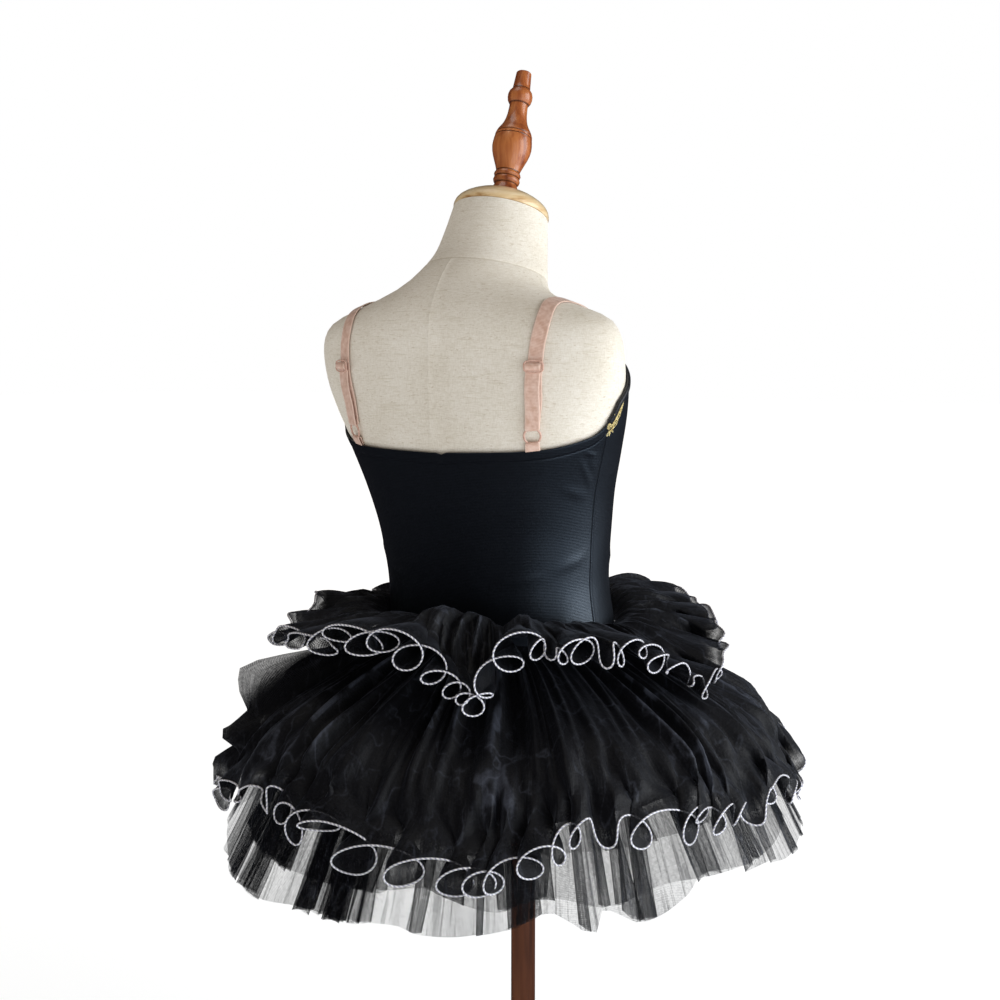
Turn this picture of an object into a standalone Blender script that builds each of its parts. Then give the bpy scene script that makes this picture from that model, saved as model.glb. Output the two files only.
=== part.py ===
"""A child's black ballet tutu standing on a limbless linen dress form.

Metres, +Z up. The wearer faces -Y, so the wearer's right side is at -X. The origin is the
centre of the stand's underside, and the floor is the plane z = 0. Angles round the body are
in degrees from +X: 90 is the centre back, 180 the wearer's right, 270 the centre front.
"""
import math
from collections import namedtuple

import bpy
from mathutils import Matrix, Vector

MM = 0.001
GAP = 0.3 * MM             # air between two pieces that touch

# ---- the stand --------------------------------------------------------------------------
BASE_RADIUS = 0.130
BASE_THICKNESS = 0.022
POLE_RADIUS = 0.0107
NECK_CAP_RADIUS = 0.0396
NECK_CAP_HEIGHT = 0.019
FINIAL_LENGTH = 0.1065

# ---- the cloth --------------------------------------------------------------------------
LYCRA = 1.2 * MM           # wall of the bodice
LYCRA_CLEAR = 1.4 * MM     # air between the form and the bodice
NET = 1.0 * MM             # wall of every tulle skirt
CORD = 1.8 * MM            # across the cord sewn along the curled edges
SEAM_GAP = 0.6 * MM        # between that cord and the edge that it follows
BINDING_WIDTH = 3.6 * MM
BINDING_THICKNESS = 1.2 * MM
BRAID_DROP = 5.0 * MM      # from the neckline down to the braid
BRAID_WIDTH = 9.0 * MM
BRAID_THICKNESS = 1.4 * MM
STRAP_WIDTH = 11.5 * MM
STRAP_THICKNESS = 1.0 * MM
STRAP_CLEAR = 0.7 * MM     # air between the form and the straps
BODICE_BOTTOM = 0.416      # the bodice runs on under the skirts
SIDE_SEAM = 8.0            # degrees behind the body's widest line
FRONT_COLUMNS = 19
BACK_COLUMNS = 16

# The form, as sections up the body. Each is widest at side_y and reaches from back_y to
# front_y; slope tilts its plane, so that the neck's sections lie square to the neck.
Section = namedtuple("Section", "height half_width side_y back_y front_y slope square")
TORSO = [Section(*row) for row in (
    (0.3500, 0.0900, 0.0300, 0.1050, -0.0480, 0.000, 2.20),
    (0.3540, 0.0965, 0.0300, 0.1125, -0.0550, 0.000, 2.20),
    (0.3900, 0.1000, 0.0320, 0.1160, -0.0550, 0.000, 2.20),
    (0.4250, 0.0970, 0.0350, 0.1140, -0.0450, 0.000, 2.20),
    (0.4550, 0.0948, 0.0380, 0.1120, -0.0370, 0.000, 2.20),
    (0.4865, 0.0930, 0.0425, 0.1150, -0.0300, 0.000, 2.20),
    (0.5100, 0.0948, 0.0453, 0.1190, -0.0280, 0.000, 2.20),
    (0.5350, 0.0980, 0.0489, 0.1245, -0.0270, 0.000, 2.20),
    (0.5650, 0.1045, 0.0560, 0.1330, -0.0215, 0.000, 2.20),
    (0.5950, 0.1150, 0.0650, 0.1385, -0.0125, 0.000, 2.20),
    (0.6260, 0.1275, 0.0780, 0.1415, -0.0010, 0.000, 2.15),
    (0.6500, 0.1345, 0.0870, 0.1425, 0.0085, 0.000, 2.08),
    (0.6730, 0.1370, 0.0925, 0.1425, 0.0145, 0.000, 2.00),
    (0.6890, 0.1345, 0.0935, 0.1425, 0.0180, 0.000, 1.95),
    (0.7000, 0.1255, 0.0920, 0.1410, 0.0205, 0.000, 1.90),
    (0.7075, 0.1070, 0.0890, 0.1385, 0.0225, 0.030, 1.95),
    (0.7145, 0.0850, 0.0835, 0.1340, 0.0220, 0.080, 2.00),
    (0.7215, 0.0660, 0.0755, 0.1275, 0.0180, 0.140, 2.00),
    (0.7300, 0.0535, 0.0650, 0.1180, 0.0120, 0.200, 2.00),
    (0.7445, 0.0465, 0.0530, 0.1000, 0.0070, 0.260, 2.00),
    (0.7630, 0.0425, 0.0455, 0.0880, 0.0030, 0.290, 2.00),
    (0.7865, 0.0388, 0.0378, 0.0762, -0.0006, 0.307, 2.00),
)]
SHOULDER_TOP = 0.690       # between these heights the sections draw in to the neck
NECK_FOOT = 0.740
TORSO_STEP = 0.026         # longer steps between two sections get a row half way
TORSO_SIDES = 32

# Where the middle of a strap lies, on its way up the back and up the front.
StrapPoint = namedtuple("StrapPoint", "share from_centre")
STRAP_BACK = (StrapPoint(0.0, 0.0816), StrapPoint(0.45, 0.0878), StrapPoint(1.0, 0.0890))
STRAP_FRONT = (StrapPoint(0.0, 0.0810), StrapPoint(0.5, 0.0860), StrapPoint(1.0, 0.0890))
RING_HEIGHT = 0.6115
RING_RADIUS = 6.2 * MM
RING_WIRE = 0.9 * MM
TAB_BOTTOM = 0.5995
SLIDER_HEIGHT = 0.6630
SLIDER_SIZE = (14.6 * MM, 10.6 * MM)
SLIDER_BAR = 1.9 * MM
SLIDER_PLATE = 1.4 * MM
STRAP_END_FRONT = 0.6778

# Top edge of the bodice. At the sides the back and front panels meet in a seam.
EdgePoint = namedtuple("EdgePoint", "angle height")
NECKLINE = [EdgePoint(*row) for row in (
    (-90.0, 0.6430), (-77.0, 0.6530), (-64.0, 0.6680), (-50.0, 0.6770), (-36.0, 0.6700),
    (-20.0, 0.6540), (-9.0, 0.6430), (0.0, 0.6320), (6.0, 0.6200), (12.0, 0.6110),
    (20.0, 0.6065), (45.0, 0.5985), (90.0, 0.5945),
)]

# Profiles of the skirts from the seam to the edge. blend is 0 where a skirt still has the
# outline of the body and 1 where it is round.
Ring = namedtuple("Ring", "radius height blend")
SKIRT_AXIS_Y = {"peplum": 0.029, "tier": 0.023, "net": 0.014}
PEPLUM_PROFILE = (Ring(0.000, 0.4520, 0.0), Ring(0.135, 0.4630, 0.7), Ring(0.188, 0.4450, 1.0))
TIER_PROFILE = (Ring(0.000, 0.4450, 0.0), Ring(0.150, 0.4220, 0.7),
                Ring(0.207, 0.3750, 1.0), Ring(0.243, 0.3200, 1.0))
OUTER_NET_PROFILE = (Ring(0.000, 0.4385, 0.0), Ring(0.140, 0.4120, 0.7),
                     Ring(0.196, 0.3620, 1.0), Ring(0.249, 0.2700, 1.0))
INNER_NET_PROFILE = (Ring(0.000, 0.4320, 0.0), Ring(0.131, 0.4020, 0.7),
                     Ring(0.184, 0.3500, 1.0), Ring(0.232, 0.2750, 1.0))
SHORT_NET_PROFILE = (Ring(0.000, 0.4255, 0.0), Ring(0.146, 0.3650, 0.8),
                     Ring(0.185, 0.3020, 1.0))
LINING_PROFILE = (Ring(0.000, 0.4200, 0.0), Ring(0.128, 0.3680, 0.8), Ring(0.157, 0.3220, 1.0))

# Folds of the corded edges: where each loop stands, the height of its middle, its radius.
Fold = namedtuple("Fold", "angle height loop")
PEPLUM_FOLDS = [Fold(*row) for row in (
    (56.0, 0.4500, 10.0), (68.0, 0.4530, 8.0), (80.0, 0.4650, 10.0), (89.0, 0.4590, 10.0),
    (96.0, 0.4610, 9.0), (102.0, 0.4560, 12.0), (107.5, 0.4390, 8.0), (113.5, 0.4240, 8.0),
    (119.0, 0.4380, 7.0), (125.0, 0.4590, 12.0), (132.0, 0.4610, 7.0), (140.0, 0.4600, 12.0),
    (147.5, 0.4550, 7.0), (157.0, 0.4480, 10.0), (164.5, 0.4410, 7.0), (172.0, 0.4290, 7.0),
    (180.0, 0.4200, 9.0), (189.0, 0.4250, 10.0),
)]
PEPLUM_FRONT_FOLDS = 20
TIER_FOLDS = [Fold(*row) for row in (
    (44.0, 0.3150, 9.0), (55.0, 0.3260, 9.0), (66.0, 0.3390, 10.0), (75.0, 0.3290, 7.0),
    (83.0, 0.3340, 9.0), (90.0, 0.3280, 11.0), (97.0, 0.3190, 12.0), (103.5, 0.3170, 12.0),
    (110.5, 0.3120, 11.0), (116.5, 0.3120, 10.0), (121.5, 0.3160, 7.0), (127.0, 0.3230, 11.0),
    (133.0, 0.3400, 12.0), (138.5, 0.3320, 6.0), (144.5, 0.3375, 11.5), (151.0, 0.3350, 11.0),
    (156.5, 0.3370, 8.0), (162.0, 0.3310, 7.0), (168.5, 0.3300, 8.0), (177.0, 0.3380, 11.0),
    (187.0, 0.3350, 9.0), (198.0, 0.3180, 8.0),
)]
TIER_FRONT_FOLDS = 19
COLUMNS_PER_FOLD = 4
FOLD_DEPTH = 0.50          # how far a fold goes in and out, of its loop
FOLD_RISE = 0.65           # how far it goes up and down, of its loop

OUTER_NET_HEM = [EdgePoint(*row) for row in (
    (44.0, 0.2725), (70.0, 0.2630), (97.0, 0.2685), (113.0, 0.2680), (127.0, 0.2790),
    (136.0, 0.2710), (152.0, 0.2810), (163.0, 0.2870), (178.0, 0.2820), (199.0, 0.2765),
    (232.0, 0.2720), (266.0, 0.2690), (301.0, 0.2710), (336.0, 0.2690), (404.0, 0.2725),
)]
NET_GATHERS = 20
LINING_GATHERS = 9


# ---- small tools ------------------------------------------------------------------------
def clear_scene():
    for scene_object in list(bpy.data.objects):
        bpy.data.objects.remove(scene_object, do_unlink=True)


def material(name, colour, roughness, metallic=0.0):
    finish = bpy.data.materials.new(name)
    finish.use_nodes = True
    shader = finish.node_tree.nodes["Principled BSDF"]
    shader.inputs["Base Color"].default_value = (*colour, 1.0)
    shader.inputs["Roughness"].default_value = roughness
    shader.inputs["Metallic"].default_value = metallic
    finish.diffuse_color = (*colour, 1.0)
    return finish


def mesh_object(name, points, faces, finish, smooth=True):
    mesh = bpy.data.meshes.new(name)
    mesh.from_pydata([tuple(point) for point in points], [], faces)
    mesh.update()
    if smooth:
        mesh.shade_smooth()
        mesh.set_sharp_from_angle(angle=math.radians(40.0))
    mesh.materials.append(finish)
    piece = bpy.data.objects.new(name, mesh)
    bpy.context.scene.collection.objects.link(piece)
    return piece


def smooth_value(rows, column, value):
    """Read a named column of a table at any value of its first column, on a smooth curve."""
    if value <= rows[0][0]:
        return getattr(rows[0], column)
    if value >= rows[-1][0]:
        return getattr(rows[-1], column)
    index = max(i for i in range(len(rows) - 1) if rows[i][0] <= value)

    def slope(i):
        low, high = max(i - 1, 0), min(i + 1, len(rows) - 1)
        return ((getattr(rows[high], column) - getattr(rows[low], column))
                / (rows[high][0] - rows[low][0]))

    step = rows[index + 1][0] - rows[index][0]
    u = (value - rows[index][0]) / step
    start, end = getattr(rows[index], column), getattr(rows[index + 1], column)
    return ((2 * u ** 3 - 3 * u ** 2 + 1) * start + (u ** 3 - 2 * u ** 2 + u) * step * slope(index)
            + (3 * u ** 2 - 2 * u ** 3) * end + (u ** 3 - u ** 2) * step * slope(index + 1))


def section_at(height):
    """The form's section at any height, by its named sizes."""
    return Section(height, *(smooth_value(TORSO, column, height)
                             for column in Section._fields[1:]))


def power(value, exponent):
    return math.copysign(abs(value) ** exponent, value)


def grid_faces(rows, columns, closed):
    """Faces of a grid of points whose rows run anticlockwise and are stacked upwards."""
    faces = []
    for row in range(rows - 1):
        for column in range(columns if closed else columns - 1):
            after = (column + 1) % columns
            faces.append((row * columns + column, row * columns + after,
                          (row + 1) * columns + after, (row + 1) * columns + column))
    return faces


def moved_out(grid, distance, closed):
    """Move every point of a grid along the surface's own normal."""
    rows, columns = len(grid), len(grid[0])
    result = []
    for row in range(rows):
        moved = []
        for column in range(columns):
            before, after = column - 1, column + 1
            if closed:
                after %= columns
            else:
                before, after = max(before, 0), min(after, columns - 1)
            along = grid[row][after] - grid[row][before]
            up = grid[min(row + 1, rows - 1)][column] - grid[max(row - 1, 0)][column]
            moved.append(grid[row][column] + along.cross(up).normalized() * distance)
        result.append(moved)
    return result


def wall(name, grid, thickness, finish, closed=True):
    """A sheet of cloth: the grid is the middle of a wall of even thickness."""
    points = [point for row in grid for point in row]
    piece = mesh_object(name, points, grid_faces(len(grid), len(grid[0]), closed), finish)
    solidify = piece.modifiers.new("wall", "SOLIDIFY")
    solidify.thickness = thickness
    solidify.offset = 0.0
    solidify.use_even_offset = True
    solidify.use_quality_normals = True
    solidify.thickness_clamp = 0.0
    return piece


def cord(name, points, radius, sides_half, finish):
    """A closed loop of round cord through the points."""
    curve = bpy.data.curves.new(name, "CURVE")
    curve.dimensions = "3D"
    curve.bevel_depth = radius
    curve.bevel_resolution = sides_half
    spline = curve.splines.new("POLY")
    spline.points.add(len(points) - 1)
    for spline_point, point in zip(spline.points, points):
        spline_point.co = (*point, 1.0)
    spline.use_cyclic_u = True
    curve.materials.append(finish)
    piece = bpy.data.objects.new(name, curve)
    bpy.context.scene.collection.objects.link(piece)
    return piece


def turned(name, profile, sides, finish):
    """A solid turned round +Z from (radius, height) pairs, listed upwards."""
    points = [Vector((radius * math.cos(math.tau * side / sides),
                      radius * math.sin(math.tau * side / sides), height))
              for radius, height in profile for side in range(sides)]
    faces = grid_faces(len(profile), sides, True)
    last = (len(profile) - 1) * sides
    faces.append(tuple(range(sides - 1, -1, -1)))
    faces.append(tuple(range(last, last + sides)))
    return mesh_object(name, points, faces, finish)


# ---- the shape of the body --------------------------------------------------------------
def body_point(height, angle, outwards=0.0):
    """A point on the form: angle is the section's own parameter, in radians."""
    cut = section_at(height)
    depth = cut.back_y - cut.side_y if math.sin(angle) > 0 else cut.side_y - cut.front_y
    x = (cut.half_width + outwards) * power(math.cos(angle), 2 / cut.square)
    y = cut.side_y + (depth + outwards) * power(math.sin(angle), 2 / cut.square)
    return Vector((x, y, height + cut.slope * (y - cut.side_y)))


def body_at_width(height, x, front):
    """The point of the form's back or front that lies at a given x."""
    cut = section_at(height)
    share = min(abs(x) / cut.half_width, 1.0)
    depth = cut.front_y - cut.side_y if front else cut.back_y - cut.side_y
    y = cut.side_y + depth * (1 - share ** cut.square) ** (1 / cut.square)
    return Vector((x, y, height + cut.slope * (y - cut.side_y)))


def height_of_width(x):
    """Height at which the shoulder's slope has come in to a given half width."""
    low, high = SHOULDER_TOP, NECK_FOOT
    for _ in range(40):
        middle = (low + high) / 2
        if section_at(middle).half_width > abs(x):
            low = middle
        else:
            high = middle
    return (low + high) / 2


def body_radius(height, angle, outwards):
    """Distance from the body's own axis to its surface in the direction of an angle."""
    cut = section_at(height)
    depth = cut.back_y - cut.side_y if math.sin(angle) > 0 else cut.side_y - cut.front_y
    across = abs(math.cos(angle)) / (cut.half_width + outwards)
    through = abs(math.sin(angle)) / (depth + outwards)
    return (across ** cut.square + through ** cut.square) ** (-1 / cut.square)


# ---- the form and its stand -------------------------------------------------------------
def build_stand(wood):
    turned("stand_base", (
        (BASE_RADIUS - 0.004, 0.0), (BASE_RADIUS, 0.004), (BASE_RADIUS, 0.012),
        (BASE_RADIUS - 0.004, 0.017), (BASE_RADIUS - 0.014, BASE_THICKNESS - 0.001),
        (0.030, BASE_THICKNESS)), 40, wood)
    turned("stand_pole", (
        (POLE_RADIUS, BASE_THICKNESS + GAP), (POLE_RADIUS, TORSO[0].height - GAP)), 24, wood)


def build_form(linen):
    heights = [TORSO[0].height]
    for low, high in zip(TORSO, TORSO[1:]):
        if high.height - low.height > TORSO_STEP:
            heights.append((low.height + high.height) / 2)
        heights.append(high.height)
    points, rows = [], len(heights)
    for height in heights:
        for side in range(TORSO_SIDES):
            points.append(body_point(height, math.tau * side / TORSO_SIDES))
    faces = grid_faces(rows, TORSO_SIDES, True)
    last = (rows - 1) * TORSO_SIDES
    faces.append(tuple(range(TORSO_SIDES - 1, -1, -1)))
    faces.append(tuple(range(last, last + TORSO_SIDES)))
    return mesh_object("form_torso", points, faces, linen)


def build_neck(pale_wood, wood):
    """The domed cap that closes the neck and the finial turned to stand on it."""
    top = TORSO[-1]
    seat = Vector((0.0, top.side_y, top.height))
    tilt = Matrix.Translation(seat) @ Matrix.Rotation(math.atan(top.slope), 4, "X")
    radius, height = NECK_CAP_RADIUS, NECK_CAP_HEIGHT
    cap = turned("neck_cap", (
        (radius * 0.985, GAP), (radius, 0.15 * height), (radius * 0.975, 0.32 * height),
        (radius * 0.87, 0.56 * height), (radius * 0.68, 0.79 * height),
        (radius * 0.45, 0.94 * height), (radius * 0.33, height)), 32, pale_wood)
    finial_profile = (
        (0.0118, 0.000), (0.0112, 0.003), (0.0092, 0.0075), (0.0106, 0.0090), (0.0111, 0.0110),
        (0.0096, 0.0132), (0.0111, 0.0155), (0.0100, 0.0178), (0.0101, 0.0195),
        (0.0130, 0.0275), (0.0158, 0.0355), (0.0163, 0.0400), (0.0150, 0.0465),
        (0.0122, 0.0545), (0.0100, 0.0590), (0.0084, 0.0650), (0.0076, 0.0745),
        (0.0080, 0.0785), (0.0103, 0.0845), (0.0092, 0.0890), (0.0073, 0.0920),
        (0.0064, FINIAL_LENGTH - 0.0008), (0.0057, FINIAL_LENGTH))
    finial = turned("finial", finial_profile, 16, wood)
    for piece, lift in ((cap, 0.0), (finial, height + GAP)):
        piece.matrix_world = tilt @ Matrix.Translation((0.0, 0.0, lift))


# ---- the bodice -------------------------------------------------------------------------
def neckline_height(angle_degrees):
    """Height of the bodice's top edge; the two halves mirror each other."""
    folded = (angle_degrees + 90.0) % 360.0 - 90.0
    if folded > 90.0:
        folded = 180.0 - folded
    return smooth_value(NECKLINE, "height", folded)


def panel_angles(start, end, columns):
    return [start + (end - start) * column / (columns - 1) for column in range(columns)]


def bodice_grid(span, outwards, rows):
    """Points of a panel, from its bottom edge up to the neckline."""
    grid = []
    for row in range(rows):
        line = []
        for angle in panel_angles(*span):
            height = BODICE_BOTTOM + (neckline_height(angle) - BODICE_BOTTOM) * row / (rows - 1)
            line.append(body_point(height, math.radians(angle), outwards))
        grid.append(line)
    return grid


def trim_line(span, drop, outwards):
    """A line along the neckline, some way below it."""
    return [body_point(neckline_height(angle) - drop, math.radians(angle), outwards)
            for angle in panel_angles(*span)]


def build_bodice(lycra, binding_finish, braid_finish):
    middle = LYCRA_CLEAR + LYCRA / 2
    seam = SIDE_SEAM + math.degrees(GAP / 0.09)
    front = (180.0 - SIDE_SEAM, 360.0 + SIDE_SEAM, FRONT_COLUMNS)
    back = (seam, 180.0 - seam, BACK_COLUMNS)
    for name, span, rows in (("bodice_back", back, 10), ("bodice_front", front, 16)):
        wall(name, bodice_grid(span, middle, rows), LYCRA, lycra, closed=False)
    # The binding lies along the front edge and the braid below it, both on the panel's
    # own columns.
    outside = LYCRA_CLEAR + LYCRA + 2 * GAP
    for name, low, high, thickness, trim in (
            ("neckline_binding", BINDING_WIDTH, 0.0, BINDING_THICKNESS, binding_finish),
            ("gold_braid", BRAID_DROP + BRAID_WIDTH, BRAID_DROP, BRAID_THICKNESS, braid_finish)):
        grid = [trim_line(front, drop, outside + thickness / 2) for drop in (low, high)]
        wall(name, grid, thickness, trim, closed=False)


# ---- the shoulder straps ----------------------------------------------------------------
def strap_edge(side, across, low, front, steps):
    """One edge of a strap up the back or the front, to the top of the shoulder."""
    table = STRAP_FRONT if front else STRAP_BACK
    top = height_of_width(table[-1].from_centre + across)
    points = []
    for step in range(steps):
        climb = 1 - (1 - step / (steps - 1)) ** 2
        height = low + (top - low) * climb
        x = side * (smooth_value(table, "from_centre", climb) + across)
        points.append(body_at_width(height, x, front))
    return points


def strap_frame(side, height):
    """Place and directions (across, up, out) of a fitting on the back strap."""
    top = height_of_width(STRAP_BACK[-1].from_centre)
    climb = (height - RING_HEIGHT) / (top - RING_HEIGHT)
    x = side * smooth_value(STRAP_BACK, "from_centre", climb)
    place = body_at_width(height, x, False)
    up = (body_at_width(height + 5 * MM, x, False) - place).normalized()
    across = (body_at_width(height, x - 3 * MM, False)
              - body_at_width(height, x + 3 * MM, False)).normalized()
    out = across.cross(up).normalized() * -1
    if out.y < 0:
        out = -out
    across = up.cross(out).normalized()
    return place, across, up, out


def strap_band(name, side, low, finish):
    """A band that runs up the back, over the shoulder and down to the front edge."""
    half = STRAP_WIDTH / 2
    grid = []
    for across in (half, -half):
        up_back = strap_edge(side, across, low, False, 9)
        up_front = strap_edge(side, across, STRAP_END_FRONT, True, 8)
        grid.append(up_back + up_front[-2::-1])
    if side > 0:
        grid.reverse()
    columns = [list(pair) for pair in zip(*grid)]
    rows = moved_out([[pair[0] for pair in columns], [pair[1] for pair in columns]],
                     STRAP_CLEAR + STRAP_THICKNESS / 2, False)
    return wall(name, rows, STRAP_THICKNESS, finish, closed=False)


def placed(frame, across, up, out):
    place, across_axis, up_axis, out_axis = frame
    return place + across_axis * across + up_axis * up + out_axis * out


def build_slider(name, side, finish):
    """A rectangular adjuster with a bar across its middle, flat on the strap."""
    width, height = SLIDER_SIZE
    bar = SLIDER_BAR
    frame = strap_frame(side, SLIDER_HEIGHT)
    lift = STRAP_CLEAR + STRAP_THICKNESS + 2 * GAP + SLIDER_PLATE / 2
    xs = (-width / 2, -width / 2 + bar, width / 2 - bar, width / 2)
    ys = (-height / 2, -height / 2 + bar, -bar / 2, bar / 2, height / 2 - bar, height / 2)
    points = [placed(frame, x, y, lift) for y in ys for x in xs]
    holes = {(1, 1), (3, 1)}
    faces = []
    for row in range(5):
        for column in range(3):
            if (row, column) not in holes:
                corner = row * 4 + column
                faces.append((corner, corner + 1, corner + 5, corner + 4))
    piece = mesh_object(name, points, faces, finish, smooth=False)
    solidify = piece.modifiers.new("plate", "SOLIDIFY")
    solidify.thickness = SLIDER_PLATE
    solidify.offset = 0.0
    return piece


def build_straps(elastic, enamel):
    for side, word in ((1, "left"), (-1, "right")):
        above_ring = RING_HEIGHT + RING_RADIUS + RING_WIRE + GAP
        strap_band("strap_" + word, side, above_ring, elastic)
        frame = strap_frame(side, RING_HEIGHT)
        lift = STRAP_CLEAR + RING_WIRE
        ring = [placed(frame, RING_RADIUS * math.cos(turn), RING_RADIUS * math.sin(turn), lift)
                for turn in (math.tau * step / 16 for step in range(16))]
        cord("ring_" + word, ring, RING_WIRE, 1, enamel)
        build_slider("slider_" + word, side, enamel)
        half = STRAP_WIDTH / 2 - 0.4 * MM
        # The tab that holds the ring stands on the bodice's top edge.
        tab_frame = strap_frame(side, TAB_BOTTOM)
        tab_top = RING_HEIGHT - RING_RADIUS - RING_WIRE - GAP - TAB_BOTTOM
        tab = [[placed(tab_frame, x, y, STRAP_CLEAR + STRAP_THICKNESS)
                for x in (-half, half)] for y in (0.0, tab_top)]
        wall("tab_" + word, tab, STRAP_THICKNESS, elastic, closed=False)
        # The strap's end comes back up from the ring to the slider, over the strap.
        bottom_frame = strap_frame(side, above_ring)
        top_frame = strap_frame(side, SLIDER_HEIGHT - SLIDER_SIZE[1] / 2 - GAP)
        middle_frame = strap_frame(side, (above_ring + SLIDER_HEIGHT) / 2)
        out = STRAP_CLEAR + 1.5 * STRAP_THICKNESS + 2.5 * GAP
        back = [[placed(place, x, 0.0, out) for x in (-half, half)]
                for place in (bottom_frame, middle_frame, top_frame)]
        wall("strap_end_" + word, back, STRAP_THICKNESS, elastic, closed=False)


# ---- the skirts -------------------------------------------------------------------------
def with_front_folds(folds, count, low, high, loop):
    """Add the folds of the side that faces away, evenly spaced but of uneven size."""
    start, end = folds[-1].angle, folds[0].angle + 360.0
    rows = list(folds)
    for index in range(1, count + 1):
        share = index / (count + 1)
        height = (low + high) / 2 + (high - low) / 2 * math.sin(2.3 * index)
        rows.append(Fold(start + (end - start) * share, height,
                         loop * (1.0 + 0.25 * math.sin(1.7 * index + 1.0))))
    return rows


def fold_value(folds, position, column):
    """Smooth value of a column round a closed table of folds."""
    count = len(folds)
    index = math.floor(position)
    u = position - index

    def value(i):
        turns, place = divmod(i, count)
        extra = 360.0 * turns if column == "angle" else 0.0
        return getattr(folds[place], column) + extra

    before, start, end, after = (value(index + step) for step in (-1, 0, 1, 2))
    return 0.5 * (2 * start + (end - before) * u + (2 * before - 5 * start + 4 * end - after)
                  * u ** 2 + (3 * start - before - 3 * end + after) * u ** 3)


def skirt_point(profile, axis_y, row, angle, radius_extra, height_extra):
    """A point of a skirt, from the outline of the body at its seam to a round hem."""
    radius, height, blend = profile[row]
    waist_height = profile[0].height
    body_y = section_at(waist_height).side_y
    seam_radius = body_radius(waist_height, angle, LYCRA_CLEAR + LYCRA + 2 * GAP + NET / 2)
    radius = seam_radius + (radius - seam_radius) * blend + radius_extra if row else seam_radius
    if 0 < blend < 1:
        radius = max(radius, seam_radius + 6 * MM)
    centre_y = body_y + (axis_y - body_y) * blend
    return Vector((radius * math.cos(angle), centre_y + radius * math.sin(angle),
                   height + height_extra))


def corded_skirt(name, profile, folds, amounts, finish, cord_finish):
    """A gathered skirt whose edge curls in and out, and the cord sewn along that edge.

    amounts gives, for each row of the profile, how much of the fold is in it.
    """
    columns = len(folds) * COLUMNS_PER_FOLD
    grid = []
    for row, amount in enumerate(amounts):
        line = []
        for column in range(columns):
            position = column / COLUMNS_PER_FOLD
            angle = math.radians(fold_value(folds, position, "angle"))
            edge_rise = fold_value(folds, position, "height") - profile[-1].height
            loop = fold_value(folds, position, "loop") * MM
            turn = math.tau * position
            line.append(skirt_point(
                profile, SKIRT_AXIS_Y[name], row, angle,
                -FOLD_DEPTH * loop * math.sin(turn) * amount,
                edge_rise * amount ** 1.5 - FOLD_RISE * loop * math.cos(turn) * amount))
        grid.append(line)
    grid.reverse()
    wall(name, grid, NET, finish)
    # The cord goes on from the wall's edge, column by column.
    slopes = [(low - high).normalized() for low, high in zip(grid[0], grid[1])]
    after = slopes[1:] + slopes[:1]
    before = slopes[-1:] + slopes[:-1]
    downs = [(a + b + c).normalized() for a, b, c in zip(before, slopes, after)]
    edge = [[low + down * (SEAM_GAP + reach) for low, down in zip(grid[0], downs)]
            for reach in (CORD, 0.0)]
    wall(name + "_cord", edge, CORD, cord_finish)


def net_skirt(name, profile, gathers, depth, hem, finish):
    """A gathered skirt with a plain cut hem; depth is half the depth of a fold there."""
    columns = gathers * COLUMNS_PER_FOLD
    grid = []
    for row in range(len(profile)):
        amount = (row / (len(profile) - 1)) ** 1.3
        line = []
        for column in range(columns):
            turn = column / columns
            angle = math.tau * turn
            wave = depth * amount * math.sin(angle * gathers)
            rise = 0.0
            if hem and row == len(profile) - 1:
                degrees = (math.degrees(angle) - hem[0].angle) % 360.0 + hem[0].angle
                rise = smooth_value(hem, "height", degrees) - profile[-1].height
            line.append(skirt_point(profile, SKIRT_AXIS_Y["net"], row, angle, wave, rise))
        grid.append(line)
    grid.reverse()
    wall(name, grid, NET, finish)


def build_skirts(tulle, satin, white_cord):
    peplum_folds = with_front_folds(PEPLUM_FOLDS, PEPLUM_FRONT_FOLDS, 0.432, 0.456, 8.5)
    tier_folds = with_front_folds(TIER_FOLDS, TIER_FRONT_FOLDS, 0.312, 0.336, 10.0)
    corded_skirt("peplum", PEPLUM_PROFILE, peplum_folds, (0.0, 0.45, 1.0), tulle, white_cord)
    corded_skirt("tier", TIER_PROFILE, tier_folds, (0.0, 0.15, 0.5, 1.0), tulle, white_cord)
    net_skirt("net_outer", OUTER_NET_PROFILE, NET_GATHERS, 5.0 * MM, OUTER_NET_HEM, tulle)
    net_skirt("net_inner", INNER_NET_PROFILE, NET_GATHERS, 4.0 * MM, None, tulle)
    net_skirt("net_short", SHORT_NET_PROFILE, NET_GATHERS, 3.0 * MM, None, tulle)
    net_skirt("lining_skirt", LINING_PROFILE, LINING_GATHERS, 1.5 * MM, None, satin)


def build():
    clear_scene()
    linen = material("linen", (0.80, 0.76, 0.68), 0.85)
    red_wood = material("varnished_wood", (0.42, 0.15, 0.05), 0.30)
    pale_wood = material("pale_wood", (0.76, 0.55, 0.30), 0.45)
    lycra = material("black_lycra", (0.010, 0.011, 0.016), 0.45)
    black_binding = material("black_binding", (0.008, 0.008, 0.010), 0.40)
    gold = material("gold_braid", (0.83, 0.60, 0.16), 0.35, 1.0)
    elastic = material("nude_elastic", (0.72, 0.50, 0.42), 0.50)
    enamel = material("nude_enamel", (0.78, 0.58, 0.50), 0.30)
    tulle = material("black_tulle", (0.015, 0.015, 0.020), 0.60)
    satin = material("black_satin", (0.010, 0.010, 0.014), 0.50)
    silver_cord = material("silver_cord", (0.80, 0.79, 0.84), 0.40)
    build_stand(red_wood)
    build_form(linen)
    build_neck(pale_wood, red_wood)
    build_bodice(lycra, black_binding, gold)
    build_straps(elastic, enamel)
    build_skirts(tulle, satin, silver_cord)


build()
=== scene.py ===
"""A child's black ballet tutu on a limbless linen dress form: how it looks."""

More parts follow.
